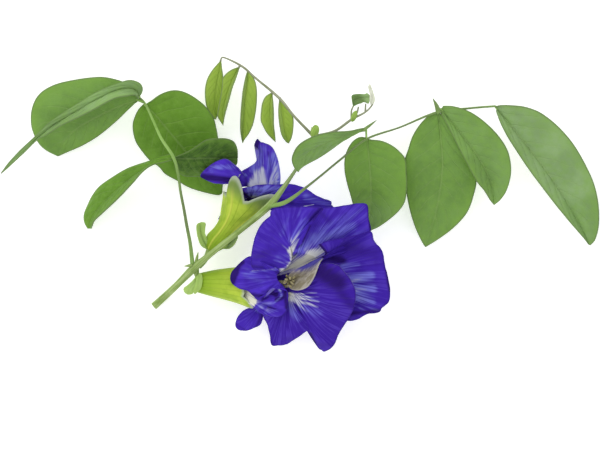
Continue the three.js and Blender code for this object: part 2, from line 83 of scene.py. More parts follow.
# The axis of each flower, from the foot of its calyx to the mouth
FRONT_AXIS = ((-31.6, -24.5, 9), (-20.8, -25.3, 9.4))
SIDE_AXIS = ((-27.9, -14, 8.8), (-19.8, -0.9, 10.4))
# How wide a claw is at its root, and the ring round the axis on which most claws start
CLAW_ROOT_WIDTH = 1.3
CLAW_RING = 2.2
# Calyces. A lobe is (degrees round the axis, length, half its width in degrees, lean to the side), and
# a bract is a blade with its rib and the edges left and right of it.
CALYCES = {
    "front_calyx": {
        "cup": {
            "axis": FRONT_AXIS, "radii": (2.6, 3.7, 4.6, 5.5, 6.7), "collar": 1.4, "bend": (0, 0.3, 0),
            "lobes": ((-18, 4.4, 38, 0), (54, 4.4, 38, 0), (110, 2.6, 34, 0), (154, 5.6, 38, 0),
                      (232, 4.4, 40, 0)),
            "ridge": 0.4, "age": 0.76,
        },
        "pedicel": ((-32.3, -20.2, 10), (-32, -22, 9.6), (-30.6, -24.5, 9)),
        "bracts": (
            {"rib": ((-31.2, -21.6, 11.6), (-31, -24, 12.9), (-31.6, -26.4, 12.4), (-32.6, -27.8, 11)),
             "left": ((-31.1, -21.5, 11.6), (-30.4, -22.2, 12.2), (-30.3, -24.2, 12.9), (-30.9, -26.2, 12.6),
                      (-32.6, -27.8, 11)),
             "right": ((-31.3, -21.6, 11.6), (-32, -22.9, 12), (-32.3, -24.9, 12.5), (-33, -26.6, 11.9),
                       (-32.8, -27.8, 11))},
            {"rib": ((-31.6, -22.4, 10.4), (-32.6, -24.6, 11.2), (-34, -26.4, 10.8), (-34.8, -28, 9.4)),
             "left": ((-31.5, -22.4, 10.4), (-31.8, -24.4, 11.4), (-32.7, -26.4, 11.2), (-33.2, -27.7, 10.4),
                      (-34.8, -28.1, 9.4)),
             "right": ((-32, -22.2, 10.2), (-33.3, -23.9, 10.6), (-34.8, -25.2, 10), (-36, -26.1, 9.2),
                       (-35.9, -27.2, 9), (-34.8, -28.1, 9.4))},
        ),
    },
    "side_calyx": {
        "cup": {
            "axis": SIDE_AXIS, "radii": (1.6, 3, 2.7, 3, 4.3, 5.6, 7, 7.9, 8.6), "collar": 2.1, "flat": 0.85,
            "bend": (0.85, -0.53, 0),
            "lobes": ((6, 0.1, 44, 0), (71, 6.8, 29, 2.3), (142, 8, 47, -1.6), (214, 4, 30, 0),
                      (280, 3, 38, 0)),
        },
        "pedicel": ((-31.4, -19.4, 10), (-29.5, -17.3, 9), (-27.9, -13.8, 8.7)),
        "bracts": (
            {"rib": ((-28.7, -13.6, 9.6), (-30, -11.2, 10.4), (-30.8, -8.6, 10.6), (-30.8, -5.7, 10.2)),
             "left": ((-29, -14.1, 9.8), (-30.6, -13.1, 10.6), (-31.5, -11.2, 11), (-32.1, -8.7, 11.2),
                      (-32.1, -6.4, 10.8), (-30.9, -5.7, 10.2)),
             "right": ((-28.4, -12.4, 9.8), (-29, -10.6, 10.8), (-29.5, -8.9, 11.2), (-29.5, -7.4, 11),
                       (-29.4, -5.9, 10.6), (-30.7, -5.7, 10.2))},
            {"rib": ((-25.4, -13.5, 7.4), (-22.6, -12.4, 7.2), (-19.4, -10.1, 8.2)),
             "left": ((-25.3, -13.2, 7.6), (-23.4, -11.4, 8.4), (-21.4, -10, 8.8), (-19.4, -9.9, 8.4)),
             "right": ((-25.4, -13.8, 7.6), (-22.6, -14, 7.6), (-21.2, -13.4, 7.8), (-20.3, -12.5, 8),
                       (-19.5, -11, 8.3), (-19.3, -10.1, 8.3)),
             # Its full grey tone is partly the bract's own grey-green and partly painted light, which lifts it
             # out of the shade under the stem.
             "tone": 1},
        ),
    },
}

# The points of petals and leaves were placed on the photograph: (pixels across, pixels down, height over the
# table in millimetres). A pixel is PIXEL millimetres wide at the height of MIDDLE_HEIGHT, and the shoot's own
# numbers start at ZERO_PIXEL. The camera stands over PHOTO_MIDDLE.
PIXEL = 0.31
ZERO_PIXEL = (300, 204)
PHOTO_MIDDLE = (300, 225)
CAMERA_OVER_TABLE = 2080
CAMERA_OVER_MIDDLE = 2065


def petal_point(across, down, *height):
    """A petal's point to a tenth of a millimetre, straight down, since petals lie near the picture's middle."""
    return (
        round((across - ZERO_PIXEL[0]) * PIXEL, 1),
        round((ZERO_PIXEL[1] - down) * PIXEL, 1),
        *height,
    )


def petal_line(*points):
    return tuple(petal_point(*point) for point in points)


def strokes(*marks):
    """Brush strokes, each from one pixel to another, with its width in pixels and its strength."""
    return tuple(
        (*petal_point(x, y), *petal_point(to_x, to_y), round(width * PIXEL, 2), strength)
        for x, y, to_x, to_y, width, strength in marks
    )


def leaf_point(across, down, height):
    """A leaf's point to a tenth of a millimetre, where the camera sees it at its height."""
    nearer = (CAMERA_OVER_TABLE - height) / CAMERA_OVER_MIDDLE
    middle = (ZERO_PIXEL[1] - PHOTO_MIDDLE[1]) * PIXEL
    return (
        round((across - PHOTO_MIDDLE[0]) * PIXEL * nearer, 1),
        round(middle + (PHOTO_MIDDLE[1] - down) * PIXEL * nearer, 1),
        round(height, 1),
    )


def leaf_line(*points):
    return tuple(leaf_point(*point) for point in points)


def leaf_edge(pixels, heights):
    """An edge of a leaf's blade, with its heights spread evenly over its pixels."""
    points = []
    for i, (across, down) in enumerate(pixels):
        place = i / (len(pixels) - 1) * (len(heights) - 1)
        k = min(int(place), len(heights) - 2)
        share = place - k
        points.append(leaf_point(across, down, heights[k] * (1 - share) + heights[k + 1] * share))
    return tuple(points)


# Petals. A claw is (calyx axis, degrees round it, depth, ring radius, its further points in millimetres).
# The blade spreads from the hub, where the claw ends, to the outline, and first bends its first edge.
# White and blue strokes are soft brush strokes over the blade, and so are its strokes of painted shade: in its
# folds, along its curled rims, under the petals that lie over it and in the throat. A claw tint adds white,
# blue and painted shade along the claw.
# Tone runs from violet, at 0, to deep, at 1. Bulge lifts the blade's middle, and ruffle waves its rim.
PETALS = {
    "front_petal_low": {
        "claw": (FRONT_AXIS, 200, 0.45, CLAW_RING, (-8.6, -26.8, 11), (-3.9, -27.8, 14.2)),
        "hub": petal_line(
            (283, 295, 13.6), (285.4, 296, 13.9), (287.4, 296.6, 14.1), (289, 296.2, 14.3),
            (290.6, 295.2, 14.5), (292.6, 294, 14.8), (295.6, 292, 15.2), (299, 289.4, 15.8),
            (301, 287.4, 16.2),
        ),
        "outline": petal_line(
            (272, 297, 12.6), (263, 307, 11), (262.5, 315, 10.4), (267.5, 324, 8.6), (270, 335, 6.2),
            (271.2, 346, 3.8), (278, 347, 4.2), (286, 345.6, 5.4), (295.5, 339.5, 8), (306, 332.4, 10.6),
            (311.6, 330.4, 10.8), (315.2, 328.8, 10.6), (314.4, 333.5, 8), (315.2, 338.5, 6.6),
            (317.4, 344.8, 5.4), (320.2, 350.2, 5.2), (326, 351.6, 6.6), (334, 346.4, 8.8),
            (338.2, 336, 12), (343.5, 326.5, 16), (348.5, 319.5, 19.2), (353.7, 308, 23),
            (355.4, 294, 25.4), (351.6, 280.4, 26.8), (343, 268.6, 26.8), (333, 263, 26.2),
            (322.5, 263.6, 25),
        ),
        "tone": 0.85, "claw_width": 5.4, "bulge": 1.4, "ruffle": 0.5,
        "white": strokes(
            (289, 297, 301, 301, 3, 1.7), (290, 294, 299, 296, 2.4, 1.3), (296, 294, 318, 290, 1.1, 0.9),
            (297, 295.5, 321, 294, 1.1, 1), (298, 297, 320, 299, 1.4, 1.15),
            (298, 299, 319, 305, 1.5, 1.1), (295, 300.5, 309, 309, 1.6, 0.95),
            (291, 300, 297, 309, 2.2, 0.6), (289, 298, 290, 308, 1.8, 0.5),
        ),
        "blue": strokes(
            (288, 303, 300, 316, 5, 0.8), (300, 304, 320, 311, 6, 0.65), (312, 296, 328, 300, 4, 0.45),
            (300, 294, 318, 296, 4, 0.5),
        ),
        "shade_marks": strokes(
            (322, 269, 340, 280, 9, 1), (338, 285, 352, 304, 6, 0.6), (271, 300, 284, 299, 5, 0.9),
            (264, 320, 271, 344, 3, 0.6), (312, 331, 316, 344, 2, 0.9), (286, 338, 330, 345, 4, 0.3),
        ),
    },
    "front_petal_right": {
        "claw": (FRONT_AXIS, 270, 0.45, CLAW_RING, (-5, -24.8, 8.8), (0.4, -23, 13.4)),
        "outline": petal_line(
            (318.8, 244.8, 21.6), (328, 240.6, 22), (343, 237.8, 22.3), (358, 234.6, 22.2),
            (370, 232.4, 22), (373, 240.5, 22.3), (379, 247.5, 22.6), (383, 256, 22.5),
            (385, 266.5, 22.2), (388, 278, 22), (389.8, 290.5, 21.2), (388, 302.5, 20.4),
            (381.4, 308.4, 20), (378.6, 312.4, 19.4), (368, 313.6, 18.6), (358, 318.6, 17.4),
            (348, 320.4, 16), (337, 316, 13.6),
        ),
        "first": petal_line((305, 267.5, 15.6), (316, 260.6, 18.4), (324.6, 254.8, 20.6)),
        "tone": 0.55, "claw_width": 7, "bulge": -1.2, "ruffle": 0.4,
        "white": strokes(
            (351, 283, 362, 279, 2.4, 0.75), (355, 291.5, 365, 291, 2.4, 0.75),
            (357, 299, 368, 302, 2.2, 0.45), (346, 275, 354, 272, 2, 0.3),
        ),
        "blue": strokes(
            (342, 269, 357, 266, 4, 0.8), (350, 281, 370, 276, 5.4, 1.5), (355, 291, 372, 290, 5.4, 1.5),
            (357, 299, 372, 302, 4.6, 1.2), (360, 308, 378, 310, 3, 0.5),
        ),
        "shade_marks": strokes(
            (319, 245, 327, 257, 2.6, 1.2), (327, 258, 341, 262, 5, 0.95), (304, 267, 322, 259, 3, 1.1),
            (345, 249, 375, 255, 9, 0.5), (385.5, 262, 389.8, 291, 1.4, 1),
            (345, 314, 378, 311, 2.4, 0.8),
        ),
    },
    "front_petal_top": {
        "claw": (FRONT_AXIS, -35, 0.45, CLAW_RING, (-6.6, -21, 9.4), (-2, -18.6, 13.2), (4, -15.2, 17)),
        "hub": petal_line(
            (293, 253, 18.4), (300, 253, 18), (309, 254.4, 17.6), (316, 257.4, 17), (323, 260.6, 16.4),
        ),
        "outline": petal_line(
            (291.5, 247, 19.2), (297, 234, 20), (305, 223, 20.6), (312.5, 215, 21.2), (322, 209.4, 21.8),
            (333, 207.8, 22.2), (344, 205.6, 22.6), (354, 204, 22.6), (363, 203.2, 22.4),
            (367.6, 206.6, 22), (368.8, 219, 21.2), (370.6, 232, 19.6), (360, 243, 18.4),
            (344, 252, 17.4), (330, 258, 16.6),
        ),
        "tone": 0.3, "claw_width": 5.6, "bulge": -0.6, "ruffle": 0.3, "claw_tint": (0.75, 0.55, 0),
        "white": strokes(
            (297, 264, 318, 254, 4.4, 1.15), (310, 255, 323, 251, 5, 1.9), (320, 248, 332, 242, 4, 0.7),
            (306, 250, 318, 240, 3.4, 0.5), (326, 240, 344, 231, 3, 0.4),
        ),
        "blue": strokes(
            (300, 262, 318, 254, 4, 0.5), (300, 250, 318, 238, 6, 0.85), (316, 240, 352, 227, 7.5, 1),
            (322, 232, 362, 212, 8, 0.6), (338, 240, 366, 232, 4, 0.45),
        ),
        "shade_marks": strokes(
            (299, 246, 306, 226, 4, 0.8), (368.4, 207, 370.6, 232, 1.3, 1), (320, 213, 330, 222, 4, 0.4),
            (288, 269, 323, 257, 1.4, 1.3), (292, 258, 300, 251.5, 1.5, 1.5),
        ),
    },
    "front_petal_upper_left": {
        "claw": (FRONT_AXIS, 25, 0.45, CLAW_RING, (-8.6, -21.8, 11.6), (-4.2, -20.2, 15.4)),
        "hub": petal_line(
            (279, 270.5, 16.4), (286, 267.6, 16.6), (291.3, 260, 17.8), (290.6, 249, 19.4),
            (289.4, 243.4, 20), (289.4, 242.8, 20.2), (290, 243.8, 20), (291.2, 247, 19.4),
            (294, 254.5, 17.8),
        ),
        "outline": petal_line(
            (256, 270, 20.8), (251.8, 266.5, 21.4), (251.2, 257, 22.4), (253.2, 245, 23.2),
            (256.4, 234.6, 23.8), (262.8, 223.4, 24.2), (270, 216.6, 24.4), (271.8, 209.8, 24.8),
            (284, 207.8, 25), (300, 207.4, 25.4), (315, 207.6, 25.6), (323, 208.8, 25.6),
            (318.4, 214.4, 25.4), (309.8, 226.8, 24.4), (303, 242, 22),
        ),
        # This claw's tint is painted shade, the dark hole of the throat.
        "tone": 0.33, "claw_width": 6.4, "bulge": -1, "ruffle": 0.3, "claw_tint": (0, 0, 1.3),
        "white": strokes(
            (290.6, 251, 297, 240, 3, 1.6), (280, 270.4, 288, 266.4, 1.7, 1),
            (288, 266.4, 292, 260, 1.8, 1.2), (292, 260, 290.4, 248, 2, 1.4),
            (293, 243, 300, 232, 2, 0.95), (291, 241, 291, 232, 1.6, 0.65),
            (295, 243, 304, 226, 1.4, 0.65), (291, 257, 281, 254.6, 1.8, 0.55),
            (290, 263, 279, 262, 1.8, 0.55), (290, 250, 283, 246, 1.8, 0.55),
        ),
        "blue": strokes(
            (293, 240, 305, 221, 5.4, 0.75), (279, 256, 290, 258, 5, 0.55), (275, 262, 288, 263, 4, 0.5),
            (282, 236, 288, 220, 4, 0.5), (300, 216, 306, 208, 5, 0.4),
        ),
        "shade_marks": strokes(
            (304, 242, 310.6, 226, 1.6, 0.9), (312, 219, 322, 209, 5, 0.6), (256, 258, 276, 250, 6, 0.4),
            (252, 266, 262, 268, 3, 0.5), (272, 240, 282, 246, 4, 0.3), (262, 251, 288, 250, 1, 0.4),
        ),
    },
    "front_petal_left": {
        "claw": (FRONT_AXIS, 90, 0.45, CLAW_RING, (-11.6, -25, 13), (-8.4, -24.4, 16)),
        "hub": petal_line(
            (284, 287, 15.6), (280, 283, 16), (277, 279, 16.2), (277, 275, 16.2), (279, 271, 16),
        ),
        "outline": petal_line(
            (287, 291, 16.8), (280, 288.8, 17.6), (272, 288.6, 18), (267, 292.4, 17.6), (263, 298.4, 17),
            (258, 299.8, 16.6), (253, 295.5, 16.6), (248, 291, 16.8), (239.5, 288.4, 16.8),
            (232, 283.5, 17), (230.4, 278, 17.2), (231.6, 272.5, 17.8), (236.2, 266.8, 18.4),
            (242, 261, 19.2), (250, 256.4, 20), (258, 259, 20), (268, 265, 19.4), (277, 268.4, 18),
        ),
        # This claw's tint is painted shade, the dark hole of the throat.
        "tone": 0.1, "bulge": 1, "ruffle": 0.2, "claw_tint": (0, 0, 1.2),
        "white": strokes((252, 270.6, 277, 268, 0.8, 0.75)),
        "blue": strokes(
            (250, 272, 277, 269, 1.5, 0.8), (246, 273, 262, 282, 6, 0.55), (266, 274, 272, 283, 3, 0.35),
        ),
        "shade_marks": strokes(
            (231.5, 281, 236, 268, 3.8, 1.7), (236, 268, 243, 262, 2.4, 1),
            (250, 294, 266, 297, 3.4, 0.8), (277, 272, 286, 288, 2.6, 0.5), (262, 291, 276, 289, 2, 0.5),
        ),
    },
    "front_petal_small": {
        "claw": (FRONT_AXIS, 145, 0.45, CLAW_RING, (-16.6, -28.4, 14.2), (-13.4, -30.4, 15)),
        "outline": petal_line(
            (259, 310, 13.2), (263, 313.6, 13.6), (271, 317.6, 14.4), (279.5, 316.6, 15.2),
            (286.4, 310, 16), (288.4, 300, 16.6), (287, 291.6, 16.8), (279, 288.4, 16.4),
            (271, 289, 15.8), (263.6, 297, 15),
        ),
        "tone": 0.5, "claw_width": 4.4, "bulge": 0.5, "ruffle": 0.5, "crumple": 3.2, "claw_tint": (1.6, 0, 0),
        "white": strokes(
            (256, 302, 260, 301, 3.2, 0.7), (262, 306, 273, 301, 4, 0.5), (268, 309, 277, 312, 4, 0.4),
            (279, 289.5, 281.4, 294, 0.9, 0.8),
        ),
        "blue": strokes(
            (260, 306, 273, 303, 4, 0.7), (266, 312, 282, 309, 3, 0.5), (279, 289, 281.6, 296, 1.6, 1.1),
            (281, 297, 274, 302, 1.3, 0.8),
        ),
        "shade_marks": strokes(
            (270, 291, 276, 294.5, 2.4, 1.5), (277, 299, 284, 297, 2, 1.2),
            (285, 293, 287.6, 306, 2.2, 1), (268, 307, 276, 308, 1, 0.8), (262, 300, 268, 297, 1.4, 0.7),
        ),
    },
    "front_petal_lowest": {
        "claw": (FRONT_AXIS, 175, 0.6, 3, (-15.8, -30.2, 9.4), (-12.6, -32.2, 9.2)),
        "outline": petal_line(
            (262.4, 311, 8.8), (262.4, 320, 8.2), (259.4, 326.4, 7.8), (252, 329.4, 7.4),
            (245, 331.3, 7.2), (238.5, 330, 7.4), (235.3, 325.5, 7.8), (237.5, 318, 8.6), (242, 312, 9.2),
            (249, 308.7, 9.5), (256, 308, 9.5),
        ),
        "tone": 0.45, "bulge": 0.5, "ruffle": 0.1, "claw_tint": (1, 0, 0),
        "blue": strokes((256, 310, 259, 312, 2.4, 0.8)),
        "shade_marks": strokes((262, 314, 256, 328, 2.2, 0.7), (236, 324, 246, 331, 1.4, 0.5)),
    },
    "side_petal_tall": {
        "claw": (SIDE_AXIS, 0, 0.6, CLAW_RING, (-14.4, 3.2, 10.6), (-12, 5.4, 11)),
        "hub": petal_line(
            (272, 187.4, 11), (267, 187.6, 11), (262, 187.8, 11), (257, 188, 11), (252, 188, 11),
        ),
        "outline": petal_line(
            (279.6, 187, 11.4), (280.2, 178, 12.6), (279.8, 169, 13.8), (277, 157.6, 15),
            (272.2, 147.6, 16), (264.8, 143.2, 16.4), (260.6, 142, 16.4), (257.4, 138.9, 16.6),
            (254.6, 145.4, 16.2), (258, 149.2, 15.8), (258.4, 155, 15.2), (255.4, 163, 14.2),
            (248, 168, 13.4), (241, 172.4, 13.4), (238.6, 180, 13), (240, 188, 12),
        ),
        "tone": 0.1, "claw_width": 3.4, "bulge": -0.8, "ruffle": 0.2,
        "white": strokes(
            (254, 187, 258, 174, 5, 2), (262, 188, 262, 172, 5, 2.2), (272, 187, 273, 174, 4.4, 1.1),
            (275.5, 186, 275.5, 164, 4, 1), (264, 164, 266, 150, 3, 0.35),
        ),
        "blue": strokes(
            (256, 170, 262, 150, 7.5, 0.8), (276.6, 186, 275.6, 158, 6, 1.4),
            (245, 176, 252, 170, 3, 0.7), (268, 186, 269, 160, 6, 0.9),
        ),
        "shade_marks": strokes(
            (257.4, 140, 256, 147, 3, 1.2), (260, 148, 262, 152, 1.6, 0.6),
            (268, 152, 270.6, 168, 1.3, 0.55), (244, 174, 247, 186, 2.4, 0.55),
        ),
    },
    "side_petal_long": {
        "claw": (SIDE_AXIS, -70, 0.6, CLAW_RING, (-17.2, 0.8, 9), (-14.6, 1.4, 9.6)),
        "outline": petal_line(
            (264.5, 209.2, 8.6), (287, 211, 8.8), (315, 212, 9.6), (333, 210, 10.4), (331.6, 205.4, 11),
            (330.8, 201.4, 11.6), (320, 196.3, 12.6), (306, 189.2, 13.2), (292, 185.3, 13.6),
            (280, 184.8, 13.6), (262, 185.4, 13.4), (248, 186.6, 13.2), (239, 188.4, 12.8),
        ),
        "tone": 0.25, "bulge": 0.8, "ruffle": 0.3,
        "white": strokes((304.4, 204.9, 313.4, 203.2, 0.5, 2), (252, 195.6, 270, 194.4, 2.2, 0.75)),
        "blue": strokes(
            (248, 188.6, 278, 187.6, 2.6, 1.4), (250, 192.6, 276, 192, 3, 0.9),
            (306, 196, 330, 204, 4, 0.75), (282, 190, 300, 194, 4, 0.25),
        ),
        "shade_marks": strokes(
            (244, 193, 248, 197, 3, 1.2), (270, 197, 292, 200, 3.6, 0.6), (284, 190, 300, 192, 2, 0.3),
        ),
    },
    "side_petal_left": {
        "claw": (SIDE_AXIS, 180, 0.6, CLAW_RING, (-20.6, 6, 13.4), (-19.2, 8.2, 14.4)),
        "outline": petal_line(
            (243.4, 173.6, 14.8), (238, 167.4, 15.2), (233, 163.4, 15.3), (227, 159.9, 15.4),
            (221, 160.2, 15.2), (211, 164.8, 14.6), (200.2, 174.9, 13.6), (205.5, 180.2, 13.3),
            (213.7, 183.2, 13.2), (222, 184, 13.4), (229, 183.6, 13.6), (236, 184.4, 13.8),
        ),
        "tone": 0, "bulge": -0.6, "ruffle": 0.3,
        "blue": strokes((212, 169, 234, 167, 4, 0.8)),
        "shade_marks": strokes((203, 177, 229, 180.4, 3.8, 1.1), (206, 171, 214, 165, 1.6, 0.5)),
    },
}

# The keel is a folded blade on a stalk, and the stamens start as a tube beside it.
KEEL = {
    "rib": ((-3.9, -24.5, 16.6), (0, -22.3, 18.6), (3.7, -19.5, 21.2), (7.2, -16.9, 23.9)),
    "left": ((-4, -23.2, 16.8), (-2.8, -21.2, 17.8), (-0.6, -20, 18.8), (2.2, -18.6, 20), (5, -17.2, 22),
             (7, -16.6, 23.8)),
    "right": ((-3.7, -25.4, 16.8), (-2.2, -26.5, 17.8), (0.1, -26.6, 19.4), (2.4, -25.7, 21.6),
              (4, -23.2, 23.6), (5.2, -20.4, 24.6), (6.1, -18.2, 24.8), (6.9, -17, 24)),
    "bow": 0.14,
}
KEEL_STALK = ((-24, -25, 8.6), (-10, -25, 9.6), (-5.6, -25.4, 12.2), (-3.4, -25.4, 16.6))
STAMEN_TUBE = ((-24, -24.8, 10), (-12, -24.6, 10.8), (-6, -24.2, 14), (-3.2, -23.8, 18.6))

